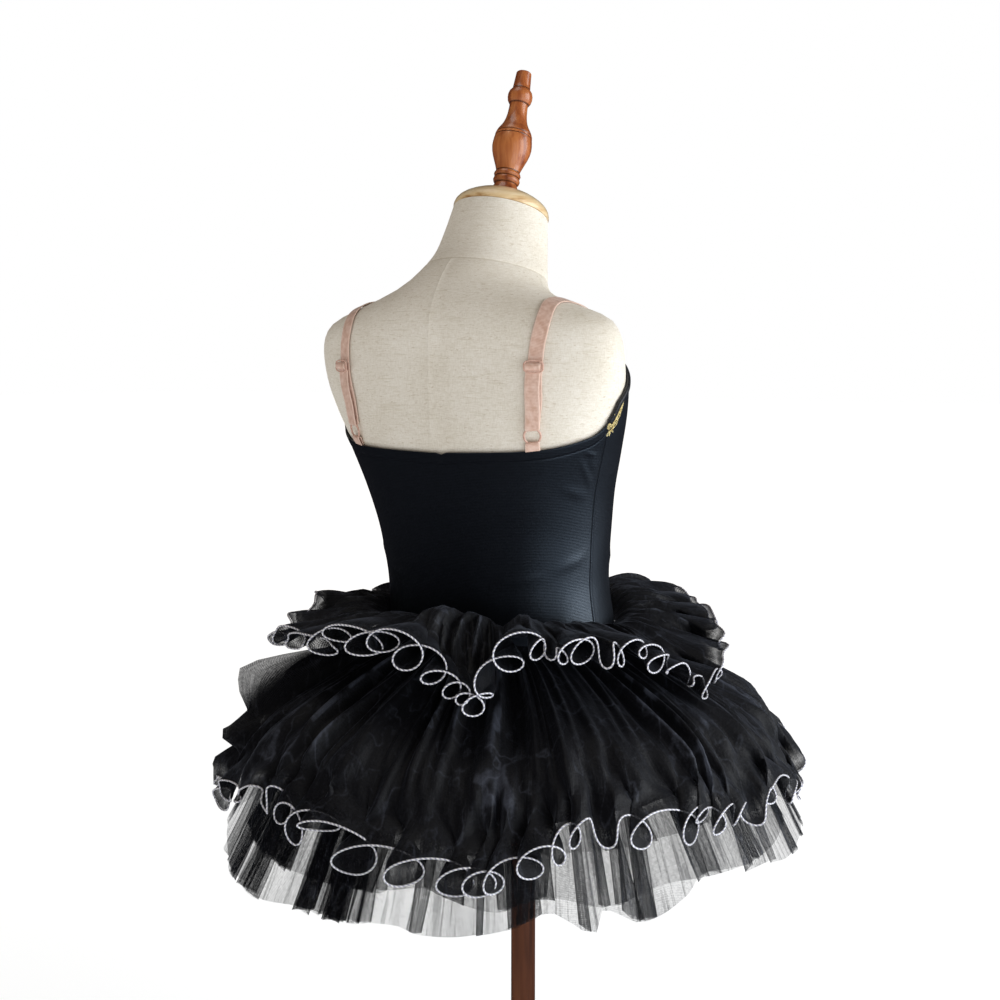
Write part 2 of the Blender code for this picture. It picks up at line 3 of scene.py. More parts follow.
import math
import random
from collections import namedtuple

import bmesh
import bpy
from mathutils import Matrix, Vector


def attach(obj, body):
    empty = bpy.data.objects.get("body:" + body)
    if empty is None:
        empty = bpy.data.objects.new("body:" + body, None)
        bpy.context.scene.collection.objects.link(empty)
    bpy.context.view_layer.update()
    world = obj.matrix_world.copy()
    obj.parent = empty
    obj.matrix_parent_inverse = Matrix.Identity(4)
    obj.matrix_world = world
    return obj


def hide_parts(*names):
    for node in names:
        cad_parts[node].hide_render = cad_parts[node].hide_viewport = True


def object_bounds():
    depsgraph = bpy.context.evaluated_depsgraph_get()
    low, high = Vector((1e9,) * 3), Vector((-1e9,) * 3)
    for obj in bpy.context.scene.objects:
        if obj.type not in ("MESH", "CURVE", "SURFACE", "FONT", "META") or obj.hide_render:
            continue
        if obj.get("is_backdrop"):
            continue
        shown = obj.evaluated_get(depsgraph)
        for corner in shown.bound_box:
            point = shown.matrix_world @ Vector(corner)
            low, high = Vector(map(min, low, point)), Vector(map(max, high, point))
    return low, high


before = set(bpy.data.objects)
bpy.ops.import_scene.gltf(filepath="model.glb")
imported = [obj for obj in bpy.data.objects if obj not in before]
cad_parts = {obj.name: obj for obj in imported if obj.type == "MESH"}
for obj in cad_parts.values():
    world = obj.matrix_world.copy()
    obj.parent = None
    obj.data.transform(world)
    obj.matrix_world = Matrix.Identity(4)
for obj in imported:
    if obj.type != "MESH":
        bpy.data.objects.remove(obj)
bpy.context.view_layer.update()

# ---- camera, light and floor --------------------------------------------------------------
# The tutu stands in a plain white studio. It is seen from behind, from the wearer's right,
# with a large soft light on the viewer's right and a weak one from the left.
TURN = math.radians(32.0)
AWAY = 1.20
EYE_HEIGHT = 0.67
SIDESTEP = 0.0206
camera_data = bpy.data.cameras.new("camera")
camera_data.lens = 50.4
camera_data.sensor_width = 36.0
camera = bpy.data.objects.new("camera", camera_data)
camera.location = (-math.sin(TURN) * AWAY + math.cos(TURN) * SIDESTEP,
                   math.cos(TURN) * AWAY + math.sin(TURN) * SIDESTEP, EYE_HEIGHT)
camera.rotation_euler = (math.radians(84.21), 0.0, math.radians(212.0))
bpy.context.scene.collection.objects.link(camera)
bpy.context.scene.camera = camera


def soft_light(name, bearing, height, away, size, power, colour):
    """A rectangular light at a bearing round the stand, aimed at the waist."""
    lamp = bpy.data.lights.new(name, "AREA")
    lamp.shape = "RECTANGLE"
    lamp.size, lamp.size_y = size
    lamp.energy = power
    lamp.color = colour
    holder = bpy.data.objects.new(name, lamp)
    turn = math.radians(bearing)
    holder.location = (math.cos(turn) * away, math.sin(turn) * away, height)
    aim = Vector((0.0, 0.0, 0.5)) - holder.location
    holder.rotation_euler = aim.to_track_quat("-Z", "Y").to_euler()
    holder.visible_camera = False
    bpy.context.scene.collection.objects.link(holder)


soft_light("key_light", 197.0, 1.15, 2.5, (2.2, 2.0), 47.0, (0.960, 0.985, 1.0))
soft_light("side_light", 148.0, 0.95, 2.5, (1.5, 1.9), 6.0, (0.96, 0.97, 1.0))
soft_light("low_light", 183.0, 0.34, 1.15, (2.6, 0.62), 3.8, (0.72, 0.85, 1.0))
soft_light("top_light", 60.0, 2.7, 0.5, (1.2, 1.2), 7.0, (1.0, 0.98, 0.95))

world = bpy.data.worlds.new("studio")
world.use_nodes = True
studio = world.node_tree
sky = studio.nodes["Background"]
sky.inputs["Color"].default_value = (1.0, 0.84, 0.68, 1.0)
sky.inputs["Strength"].default_value = 0.18
backdrop = studio.nodes.new("ShaderNodeBackground")
backdrop.inputs["Color"].default_value = (1.0, 1.0, 1.0, 1.0)
seen = studio.nodes.new("ShaderNodeLightPath")
dim = studio.nodes.new("ShaderNodeBackground")
dim.inputs["Color"].default_value = (0.022, 0.022, 0.026, 1.0)
first = studio.nodes.new("ShaderNodeMixShader")
then = studio.nodes.new("ShaderNodeMixShader")
for mixed, share, before, after in (
        (first, "Is Glossy Ray", sky, dim), (then, "Is Camera Ray", first, backdrop)):
    studio.links.new(seen.outputs[share], mixed.inputs[0])
    studio.links.new(before.outputs[0], mixed.inputs[1])
    studio.links.new(after.outputs[0], mixed.inputs[2])
studio.links.new(then.outputs[0], studio.nodes["World Output"].inputs["Surface"])
bpy.context.scene.world = world
bpy.context.scene.view_settings.view_transform = "Standard"
bpy.context.scene.cycles.transparent_max_bounces = 24


class Socket:
    """The output of a node, on which sums and products add their own Math nodes."""

    def __init__(self, finish, link):
        self.finish = finish
        self.link = link

    def sum(self, operation, *values):
        return self.finish.node("ShaderNodeMath", {"operation": operation}, values)

    def __add__(self, other):
        return self.sum("ADD", self, other)

    def __radd__(self, other):
        return self.sum("ADD", other, self)

    def __sub__(self, other):
        return self.sum("SUBTRACT", self, other)

    def __rsub__(self, other):
        return self.sum("SUBTRACT", other, self)

    def __mul__(self, other):
        return self.sum("MULTIPLY", self, other)

    def __rmul__(self, other):
        return self.sum("MULTIPLY", other, self)

    def __pow__(self, other):
        return self.sum("POWER", self, other)

    def wave(self):
        return self.sum("SINE", self) * 0.5 + 0.5

    def between(self, low, high):
        """0 below low, 1 above high, and smooth between them."""
        settings = {"interpolation_type": "SMOOTHSTEP"}
        return self.finish.node("ShaderNodeMapRange", settings,
                                {"Value": self, "From Min": low, "From Max": high})


class Finish:
    """A material, mixed from nodes."""

    def __init__(self, name, colour, roughness, **fixed):
        self.material = bpy.data.materials.new(name)
        self.material.use_nodes = True
        self.tree = self.material.node_tree
        self.shader = self.tree.nodes["Principled BSDF"]
        self.material.diffuse_color = (*colour, 1.0)
        fixed = {"Base Color": (*colour, 1.0), "Roughness": roughness,
                 **{key.replace("_", " "): value for key, value in fixed.items()}}
        for key, value in fixed.items():
            self.shader.inputs[key].default_value = value

    def node(self, kind, settings, sockets, output=0):
        """Add one node: its settings first, then the values or links of its sockets."""
        made = self.tree.nodes.new(kind)
        for key, value in settings.items():
            if key == "stops":
                ramp = made.color_ramp.elements
                while len(ramp) < len(value):
                    ramp.new(0.5)
                for stop, (place, colour) in zip(ramp, value):
                    stop.position, stop.color = place, (*colour, 1.0)
            else:
                setattr(made, key, value)
        named = sockets.items() if isinstance(sockets, dict) else enumerate(sockets)
        for key, value in named:
            if isinstance(value, Socket):
                self.tree.links.new(value.link, made.inputs[key])
            else:
                made.inputs[key].default_value = value
        return Socket(self, made.outputs[output])

    def place(self, scale=(1.0, 1.0, 1.0), turn=(0.0, 0.0, 0.0), move=(0.0, 0.0, 0.0)):
        """Object coordinates in metres, moved, turned and stretched."""
        where = self.node("ShaderNodeTexCoord", {}, {}, 3)
        return self.node("ShaderNodeMapping", {},
                         {"Vector": where, "Location": move, "Rotation": turn, "Scale": scale})

    def along(self, vector, axis):
        return self.node("ShaderNodeSeparateXYZ", {}, [vector], axis)

    def read(self, name):
        return self.node("ShaderNodeAttribute", {"attribute_name": name}, {}, 2)

    def noise(self, vector, scale, detail=2.0, rough=0.5):
        return self.node("ShaderNodeTexNoise", {}, {"Vector": vector, "Scale": scale,
                                                    "Detail": detail, "Roughness": rough})

    def blend(self, share, first, second):
        """A colour between two others."""
        full = [value if isinstance(value, Socket) else (*value, 1.0)
                for value in (first, second)]
        return self.node("ShaderNodeMix", {"data_type": "RGBA"},
                         {0: share, 6: full[0], 7: full[1]}, 2)

    def ramp(self, value, *stops):
        return self.node("ShaderNodeValToRGB", {"stops": stops}, [value])

    def feed(self, **links):
        for key, value in links.items():
            self.tree.links.new(value.link, self.shader.inputs[key.replace("_", " ")])

    def relief(self, height, distance, strength=1.0):
        """Fine relief, in metres."""
        self.feed(Normal=self.node("ShaderNodeBump", {}, {
            "Strength": strength, "Distance": distance, "Height": height}))


def mesh_piece(name, points, faces, finish, smooth=True):
    """A new piece at the origin, from its own points."""
    mesh = bpy.data.meshes.new(name)
    mesh.from_pydata([tuple(point) for point in points], [], faces)
    mesh.update()
    mesh.materials.append(finish.material)
    if smooth:
        mesh.shade_smooth()
    piece = bpy.data.objects.new(name, mesh)
    bpy.context.scene.collection.objects.link(piece)
    return piece


# Painted light: the floor glows with its own emission, dimmer near the stand and whiter far off, so
# that it reads as a brightly lit white floor fading into the white backdrop.
glowing_floor = Finish("floor_white", (0.90, 0.90, 0.90), 0.9, Specular_IOR_Level=0.1,
               Emission_Strength=1.0)
paper_place = glowing_floor.place()
afar = glowing_floor.node("ShaderNodeVectorMath", {"operation": "LENGTH"}, [paper_place], 1)
glowing_floor.feed(Base_Color=glowing_floor.ramp(glowing_floor.noise(paper_place, 3.0), (0.3, (0.895, 0.895, 0.90)),
                                 (0.7, (0.905, 0.905, 0.905))),
           Emission_Color=glowing_floor.blend(afar.between(0.3, 3.5), (0.68, 0.705, 0.725),
                                      (0.95, 0.95, 0.95)))
floor = mesh_piece("floor", [(-20, -20, 0), (20, -20, 0), (20, 20, 0), (-20, 20, 0)],
                   [(0, 1, 2, 3)], glowing_floor)
floor.visible_glossy = False
floor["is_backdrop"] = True

# ---- the wooden stand, the neck cap and the finial ----------------------------------------
# A round foot and a pole carry the form, and a domed cap with a tall finial closes its neck.
# All are turned beech, the foot, pole and finial stained reddish brown, under clear varnish.
GAP = 0.0003
NECK_TILT = math.atan(0.307)
NECK_SEAT = Vector((0.0, 0.0378, 0.7865))
CAP_RADIUS = 0.0396
CAP_HEIGHT = 0.019


def wood(name, pale, middle, dark, stretch, turn, move, shaded_grooves=(), tones=(0.36, 0.50, 0.66)):
    """Varnished wood whose grain runs along the turning's own axis, with painted shade in thin dark
    rings at any given groove heights.
    """
    finish = Finish(name, middle, 0.32, Coat_Weight=0.6, Coat_Roughness=0.12)
    grain_place = finish.place(stretch, turn, move)
    long_grain = finish.noise(grain_place, 1.0, 4.0, 0.6)
    broad = finish.noise(finish.place((14, 14, 9)), 1.0, 2.0)
    colour = finish.ramp(long_grain * 0.7 + broad * 0.3, (tones[0], dark), (tones[1], middle),
                         (tones[2], pale))
    # Painted shade: thin rings along the axis, at each listed height, are darkened towards a quarter
    # of the dark tone, as if the turned grooves there lay in shadow.
    if shaded_grooves:
        axis = finish.along(finish.place((1, 1, 1), turn, move), 2)
        lines = None
        for height, half_width in shaded_grooves:
            line = 1.0 - finish.node("ShaderNodeMath", {"operation": "ABSOLUTE"},
                                     [axis - height]).between(half_width * 0.3, half_width)
            lines = line if lines is None else lines.sum("MAXIMUM", lines, line)
        colour = finish.blend(lines * 0.8, colour, tuple(value * 0.25 for value in dark))
    finish.feed(Base_Color=colour, Roughness=0.26 + long_grain * 0.16)
    finish.relief(long_grain, 0.0004, 0.35)
    return finish


def turned(name, profile, finish, steps=64):
    """A ring drawn up and drawn in along a profile of (radius, height), then closed."""
    bpy.ops.object.select_all(action="DESELECT")
    radius, height = profile[0]
    bpy.ops.mesh.primitive_circle_add(vertices=steps, radius=radius, fill_type="NGON",
                                      location=(0.0, 0.0, height))
    piece = bpy.context.object
    piece.name = piece.data.name = name
    bpy.ops.object.transform_apply(location=True)
    bpy.ops.object.mode_set(mode="EDIT")
    bpy.ops.mesh.select_all(action="SELECT")
    for wide, high in profile[1:]:
        bpy.ops.mesh.extrude_region_move(TRANSFORM_OT_translate={"value": (0, 0, high - height)})
        bpy.ops.transform.resize(value=(wide / radius, wide / radius, 1.0),
                                 center_override=(0.0, 0.0, high))
        radius, height = wide, high
    bpy.ops.mesh.select_all(action="SELECT")
    bpy.ops.mesh.normals_make_consistent(inside=False)
    bpy.ops.object.mode_set(mode="OBJECT")
    bpy.ops.object.shade_smooth_by_angle(angle=math.radians(32.0))
    piece.data.materials.append(finish.material)
    return piece


def set_down(piece, placing, slot, *nodes):
    """Put a piece in its place, in its mesh, hide the model's parts it stands in for, and hang it
    from the root.
    """
    piece.data.transform(placing)
    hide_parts(*nodes)
    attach(piece, "root")


def rounded(profile, corner):
    """A profile whose corners are eased by two more rings each."""
    eased = [profile[0]]
    for before, here, after in zip(profile, profile[1:], profile[2:]):
        here = Vector(here)
        for other in (before, after):
            way = Vector(other) - here
            eased.append(tuple(here + way.normalized() * min(corner, way.length * 0.4)))
    return eased + [profile[-1]]


red_beech = ((0.56, 0.200, 0.058), (0.38, 0.105, 0.027), (0.20, 0.045, 0.012))
dark_beech = ((0.26, 0.085, 0.030), (0.13, 0.040, 0.015), (0.055, 0.017, 0.008))
stand_wood = wood("stained_beech", *dark_beech, (60, 60, 4), (0, 0, 0), (0, 0, 0))
foot = turned("round_foot", rounded((
    (0.126, 0.0), (0.130, 0.004), (0.130, 0.012), (0.126, 0.017), (0.116, 0.021),
    (0.030, 0.022)), 0.0018), stand_wood, 96)
set_down(foot, Matrix(), "varnished_wood", "stand_base")
pole = turned("pole", ((0.0099, 0.0223), (0.0107, 0.0231), (0.0107, 0.3489), (0.0099, 0.3497)),
              stand_wood, 48)
set_down(pole, Matrix(), "varnished_wood", "stand_pole")

neck_place = Matrix.Translation(NECK_SEAT) @ Matrix.Rotation(NECK_TILT, 4, "X")
# The finial's list gives the heights and half widths of its grooves, darkened with painted shade.
finial_wood = wood("finial_beech", *red_beech, (150, 150, 12), (-NECK_TILT, 0, 0),
                   (0.0, 0.0, -0.7601),
                   ((0.0076, 0.0007), (0.0133, 0.0008), (0.0181, 0.0009), (0.0484, 0.0006),
                    (0.0513, 0.0006), (0.0780, 0.0009), (0.0914, 0.0009), (0.0002, 0.0009)))
finial_profile = (
    (0.0118, 0.0000), (0.0119, 0.0012), (0.0112, 0.0030), (0.0098, 0.0056), (0.0091, 0.0074),
    (0.0097, 0.0080), (0.0106, 0.0090), (0.0111, 0.0108), (0.0107, 0.0122), (0.0096, 0.0133),
    (0.0107, 0.0143), (0.0111, 0.0156), (0.0107, 0.0169), (0.0098, 0.0179), (0.0100, 0.0195),
    (0.0113, 0.0232), (0.0130, 0.0275), (0.0146, 0.0316), (0.0158, 0.0357), (0.0164, 0.0396),
    (0.0163, 0.0428), (0.0159, 0.0462), (0.0156, 0.0478), (0.0150, 0.0482), (0.0150, 0.0487),
    (0.0155, 0.0491), (0.0153, 0.0506), (0.0146, 0.0511), (0.0146, 0.0516), (0.0148, 0.0520),
    (0.0139, 0.0540), (0.0127, 0.0560), (0.0113, 0.0582), (0.0100, 0.0610), (0.0089, 0.0645),
    (0.0081, 0.0690), (0.0077, 0.0745), (0.0077, 0.0776),
    (0.0084, 0.0785), (0.0097, 0.0806), (0.0103, 0.0835), (0.0103, 0.0860), (0.0095, 0.0888),
    (0.0080, 0.0908), (0.0074, 0.0916), (0.0071, 0.0950), (0.0065, 0.1030), (0.0063, 0.1058),
    (0.0057, 0.1065))
finial = turned("finial_turning", finial_profile, finial_wood, 48)
set_down(finial, neck_place @ Matrix.Translation((0.0, 0.0, CAP_HEIGHT + GAP)),
         "varnished_wood", "finial")

pale_beech = wood("pale_beech", (0.90, 0.73, 0.47), (0.78, 0.57, 0.31), (0.47, 0.25, 0.09),
                  (26, 7, 90), (-NECK_TILT, 0, 0), (0, 0, 0), (), (0.43, 0.49, 0.58))
cap = turned("neck_dome", [(CAP_RADIUS * wide, CAP_HEIGHT * high + GAP * (high == 0)) for
                           wide, high in (
    (0.975, 0.0), (0.995, 0.03), (1.0, 0.10), (0.997, 0.18), (0.975, 0.32), (0.93, 0.45),
    (0.87, 0.56), (0.78, 0.68), (0.68, 0.79), (0.57, 0.87), (0.45, 0.94), (0.33, 1.0))],
             pale_beech, 96)
set_down(cap, neck_place, "pale_wood", "neck_cap")

# ---- the linen form -----------------------------------------------------------------------
# A child's torso with no arms or legs, of hard foam under a tight cover of slubby linen.
# The cover is sewn from panels: seams run down the back, front and sides and round the neck.
Section = namedtuple("Section", "height half_width side_y back_y front_y slope square")


def table(kind, *rows):
    """Rows of numbers as rows with named columns."""
    return [kind(*row) for row in rows]


BODY = table(
    Section,
    (0.3500, 0.0900, 0.0300, 0.1050, -0.0480, 0.000, 2.20),
    (0.3540, 0.0965, 0.0300, 0.1125, -0.0550, 0.000, 2.20),
    (0.3900, 0.1000, 0.0320, 0.1160, -0.0550, 0.000, 2.20),
    (0.4250, 0.0970, 0.0350, 0.1140, -0.0450, 0.000, 2.20),
    (0.4550, 0.0948, 0.0380, 0.1120, -0.0370, 0.000, 2.20),
    (0.4865, 0.0930, 0.0425, 0.1150, -0.0300, 0.000, 2.20),
    (0.5100, 0.0948, 0.0453, 0.1190, -0.0280, 0.000, 2.20),
    (0.5350, 0.0980, 0.0489, 0.1245, -0.0270, 0.000, 2.20),
    (0.5650, 0.1045, 0.0560, 0.1330, -0.0215, 0.000, 2.20),
    (0.5950, 0.1150, 0.0650, 0.1385, -0.0125, 0.000, 2.20),
    (0.6260, 0.1275, 0.0780, 0.1415, -0.0010, 0.000, 2.15),
    (0.6500, 0.1345, 0.0870, 0.1425, 0.0085, 0.000, 2.08),
    (0.6730, 0.1370, 0.0925, 0.1425, 0.0145, 0.000, 2.00),
    (0.6890, 0.1345, 0.0935, 0.1425, 0.0180, 0.000, 1.95),
    (0.7000, 0.1255, 0.0920, 0.1410, 0.0205, 0.000, 1.90),
    (0.7075, 0.1070, 0.0890, 0.1385, 0.0225, 0.030, 1.95),
    (0.7145, 0.0850, 0.0835, 0.1340, 0.0220, 0.080, 2.00),
    (0.7215, 0.0660, 0.0755, 0.1275, 0.0180, 0.140, 2.00),
    (0.7300, 0.0535, 0.0650, 0.1180, 0.0120, 0.200, 2.00),
    (0.7445, 0.0465, 0.0530, 0.1000, 0.0070, 0.260, 2.00),
    (0.7630, 0.0425, 0.0455, 0.0880, 0.0030, 0.290, 2.00),
    (0.7865, 0.0388, 0.0378, 0.0762, -0.0006, 0.307, 2.00))


def curve(u, step, start, leaving, end, arriving):
    """A smooth curve between two values, with the slopes it leaves and arrives at."""
    return ((2 * u ** 3 - 3 * u ** 2 + 1) * start + (u ** 3 - 2 * u ** 2 + u) * step * leaving
            + (3 * u ** 2 - 2 * u ** 3) * end + (u ** 3 - u ** 2) * step * arriving)


def smooth_value(rows, column, value):
    """Read a named column of a table at any value of its first column."""
    if value <= rows[0][0]:
        return getattr(rows[0], column)
    if value >= rows[-1][0]:
        return getattr(rows[-1], column)
    index = max(i for i in range(len(rows) - 1) if rows[i][0] <= value)

    def slope(i):
        low, high = max(i - 1, 0), min(i + 1, len(rows) - 1)
        return ((getattr(rows[high], column) - getattr(rows[low], column))
                / (rows[high][0] - rows[low][0]))

    step = rows[index + 1][0] - rows[index][0]
    return curve((value - rows[index][0]) / step, step, getattr(rows[index], column),
                 slope(index), getattr(rows[index + 1], column), slope(index + 1))


def section_at(height):
    return Section(height, *(smooth_value(BODY, column, height)
                             for column in Section._fields[1:]))


def power(value, exponent):
    return math.copysign(abs(value) ** exponent, value)


def body_point(height, degrees, outwards=0.0):
    """A point on the form, or some way out from it. 90 degrees is the centre back."""
    cut, angle = section_at(height), math.radians(degrees)
    depth = cut.back_y - cut.side_y if math.sin(angle) > 0 else cut.side_y - cut.front_y
    x = (cut.half_width + outwards) * power(math.cos(angle), 2 / cut.square)
    y = cut.side_y + (depth + outwards) * power(math.sin(angle), 2 / cut.square)
    return Vector((x, y, height + cut.slope * (y - cut.side_y)))


def spread(start, end, step, extra=()):
    """Even values from start to end, with finer ones at each place in extra."""
    count = max(round((end - start) / step), 1)
    values = {round(start + (end - start) * i / count, 6) for i in range(count + 1)}
    for place, half in extra:
        values = {value for value in values if abs(value - place) > half * 1.6}
        values |= {round(place + half * part, 6) for part in (-1, -0.5, 0, 0.5, 1)}
    return sorted(values)


def grid_faces(rows, columns, closed, looped=False, first=0):
    """Quads over rows that run anticlockwise and are stacked upwards."""
    faces = []
    for row in range(rows if looped else rows - 1):
        here, above = first + row * columns, first + (row + 1) % rows * columns
        for column in range(columns if closed else columns - 1):
            after = (column + 1) % columns
            faces.append((here + column, here + after, above + after, above + column))
    return faces


def end_faces(rows, columns, first=0):
    """The two faces that close a stack of rows."""
    last = first + (rows - 1) * columns
    return [tuple(reversed(range(first, first + columns))), tuple(range(last, last + columns))]


SEAM_ANGLES = ((0.0, 1.0), (90.0, 0.8), (180.0, 1.0), (270.0, 0.8))
NECK_SEAM = 0.7365
angles = [angle for angle in spread(-2.5, 357.5, 3.75, SEAM_ANGLES) if angle < 357.4]
heights = spread(BODY[0].height, BODY[-1].height, 0.0055, ((NECK_SEAM, 0.0011),))
form_points, seams = [], []
for height in heights:
    for angle in angles:
        sunk = max(max(0.0, 1.0 - abs(angle - place) / half) for place, half in SEAM_ANGLES)
        if height < NECK_SEAM:
            sunk *= 0.00040 if 80 < angle < 100 else -0.00045
        else:
            sunk *= -0.00035 * (angle > 200)
        sunk -= 0.0006 * max(0.0, 1.0 - abs(height - NECK_SEAM) / 0.0011)
        form_points.append(body_point(height, angle, sunk))
        seams.append(1.0 if abs(height - NECK_SEAM) < 0.0004 else 0.0)
form_faces = grid_faces(len(heights), len(angles), True) + end_faces(len(heights), len(angles))

linen = Finish("slub_linen", (0.80, 0.765, 0.69), 0.85, Specular_IOR_Level=0.15,
               Sheen_Weight=0.12, Sheen_Roughness=0.5)
around = linen.place()
weft = linen.noise(linen.place((240, 240, 1250)), 1.0, 3.0, 0.7)
warp = linen.noise(linen.place((1250, 1250, 240)), 1.0, 3.0, 0.7)
slub = linen.noise(linen.place((60, 60, 800)), 1.0, 2.0).between(0.57, 0.72)
fleck = linen.noise(linen.place((230, 230, 820), (0.2, 0.5, 0.3)), 1.0, 1.0).between(0.65, 0.74)
cloudy = linen.noise(around, 26.0, 3.0)
cloth = linen.ramp(weft * 0.42 + warp * 0.36 + cloudy * 0.22, (0.36, (0.675, 0.620, 0.515)),
                   (0.50, (0.79, 0.743, 0.650)), (0.64, (0.885, 0.850, 0.775)))
cloth = linen.blend(slub * 0.30, cloth, (0.60, 0.53, 0.40))
cloth = linen.blend(fleck * 0.42, cloth, (0.50, 0.41, 0.29))
cloth = linen.blend(linen.read("seam") * 0.55, cloth, (0.50, 0.42, 0.31))
up = linen.along(around, 2)
linen.feed(Base_Color=cloth, Roughness=0.78 + weft * 0.15)
linen.relief(weft * 0.6 + warp * 0.4 + slub * 0.5, 0.0003, 0.6)
form = mesh_piece("linen_form", form_points, form_faces, linen)
form.data.set_sharp_from_angle(angle=math.radians(50.0))
seam_mark = form.data.attributes.new("seam", "FLOAT", "POINT")
seam_mark.data.foreach_set("value", seams)
set_down(form, Matrix(), "linen", "form_torso")

# ---- the bodice ---------------------------------------------------------------------------
# A strapless-backed bodice of black stretch knit in a back and a front panel. Side seams
# join them, the edges are turned in and stitched, and the skirts are sewn on at the waist.
LYCRA = 0.0012
LYCRA_CLEAR = 0.0014
BODICE_BOTTOM = 0.416
SIDE_SEAM = 8.0
EdgePoint = namedtuple("EdgePoint", "angle height")
NECKLINE = table(
    EdgePoint,
    (-90.0, 0.6430), (-77.0, 0.6530), (-64.0, 0.6680), (-50.0, 0.6770), (-36.0, 0.6700),
    (-20.0, 0.6560), (-9.0, 0.6465), (0.0, 0.6365), (6.0, 0.6250), (12.0, 0.6160),
    (20.0, 0.6098), (45.0, 0.6010), (90.0, 0.5972))
Crease = namedtuple("Crease", "angle height toward rise width depth")
BACK_CREASES = table(
    Crease,
    (158.0, 0.5900, 9.0, -0.0160, 0.0022, 0.0009), (163.0, 0.5920, 6.0, -0.0060, 0.0018, 0.0007),
    (160.0, 0.5985, 8.0, -0.0030, 0.0016, 0.0006), (150.0, 0.5700, 14.0, -0.0060, 0.0030, 0.0006),
    (20.0, 0.5930, -8.0, -0.0140, 0.0024, 0.0008), (17.0, 0.5840, -6.0, -0.0070, 0.0020, 0.0006),
    (34.0, 0.5100, -16.0, 0.0090, 0.0040, 0.0007), (148.0, 0.5060, 18.0, 0.0080, 0.0040, 0.0007),
    (66.0, 0.4930, -22.0, 0.0040, 0.0035, 0.0005), (118.0, 0.4950, 20.0, 0.0050, 0.0035, 0.0005),
    (101.0, 0.4900, 7.0, 0.0020, 0.0030, 0.0004))
FRONT_CREASES = table(
    Crease,
    (196.0, 0.5920, -12.0, -0.0130, 0.0024, 0.0007), (345.0, 0.5900, 11.0, -0.0120, 0.0024, 0.0007),
    (214.0, 0.5050, -20.0, 0.0070, 0.0042, 0.0007), (322.0, 0.5070, 22.0, 0.0060, 0.0042, 0.0007),
    (250.0, 0.4960, -18.0, 0.0050, 0.0040, 0.0005), (292.0, 0.4930, 16.0, 0.0060, 0.0038, 0.0005),
    (243.0, 0.6300, -9.0, 0.0180, 0.0050, 0.0010), (297.0, 0.6320, 9.0, 0.0160, 0.0050, 0.0010))


def neckline_height(degrees):
    """Height of the bodice's top edge; the two halves mirror each other."""
    folded = (degrees + 90.0) % 360.0 - 90.0
    return smooth_value(NECKLINE, "height", 180.0 - folded if folded > 90.0 else folded)


def crease_depth(creases, degrees, height):
    """How far the cloth is pulled out into soft ridges at a place on the body."""
    pulled = 0.0
    for crease in creases:
        share = (degrees - crease.angle) / crease.toward
        if -0.2 < share < 1.2:
            off = height - crease.height - crease.rise * share
            fade = math.sin(math.pi * min(max((share + 0.2) / 1.4, 0.0), 1.0))
            pulled += crease.depth * fade * math.exp(-(off / crease.width) ** 2)
    return pulled


def bodice_panel(name, start, end, creases, columns, node):
    """A panel of knit on the body, with a turned and stitched top edge."""
    rows = [part / 66 for part in range(60)] + [1 - part / 260 for part in range(23, -1, -1)]
    points = []
    for share in rows:
        for column in range(columns):
            degrees = start + (end - start) * column / (columns - 1)
            top = neckline_height(degrees)
            if node == "bodice_back":
                top -= 0.0016 * math.exp(-((degrees - 94.0) / 1.1) ** 2)
            height = BODICE_BOTTOM + (top - BODICE_BOTTOM) * share
            below = top - height
            out = LYCRA_CLEAR + LYCRA / 2 + crease_depth(creases, degrees, height)
            out += 0.00035 * (below < 0.0070) - 0.00045 * math.exp(-((below - 0.0074) / 0.0006) ** 2)
            out -= 0.0004 * math.exp(-(below / 0.0006) ** 2)
            side = min(degrees - start, end - degrees)
            out += 0.0004 * math.exp(-((side - 0.4) / 0.9) ** 2)
            points.append(body_point(height, degrees, out))
    piece = mesh_piece(name, points, grid_faces(len(rows), columns, False), knit)
    shell = piece.modifiers.new("thickness", "SOLIDIFY")
    shell.thickness = LYCRA
    shell.offset = 0.0
    # Any stretch of the knit is unknown, so the panel is built as worn.
    set_down(piece, Matrix(), "black_lycra", node)
    return piece


knit = Finish("black_lycra", (0.006, 0.006, 0.008), 0.38, Specular_IOR_Level=1.0,
              Specular_Tint=(0.70, 0.84, 1.0, 1.0))
knit_place = knit.place()
wander = knit.noise(knit_place, 34.0, 2.0)
course = (knit.along(knit_place, 2) * 5200.0 + wander * 9.0).wave()
wale = knit.noise(knit.place((900, 900, 260)), 1.0, 2.0)
knit.feed(Base_Color=knit.ramp(course * 0.5 + wale * 0.5, (0.25, (0.0026, 0.0029, 0.0040)),
                               (0.75, (0.0062, 0.0072, 0.0105))),
          Roughness=0.33 + wander * 0.08)
knit.relief(course * 0.5 + wale * 0.5, 0.00022, 0.5)
seam_angle = SIDE_SEAM + math.degrees(GAP / 0.09)
bodice_back = bodice_panel("bodice_back_panel", seam_angle, 180.0 - seam_angle, BACK_CREASES,
                           161, "bodice_back")
bodice_front = bodice_panel("bodice_front_panel", 180.0 - SIDE_SEAM, 360.0 + SIDE_SEAM,
                            FRONT_CREASES, 181, "bodice_front")

# ---- the binding and the braid of the front neckline --------------------------------------
# A narrow black tape is folded over the front edge. Below it lies a braid of gold scrolls
# and leaves, couched down by hand, broad at the side seams and under the bust.
MM = 0.001
SURFACE = LYCRA_CLEAR + LYCRA


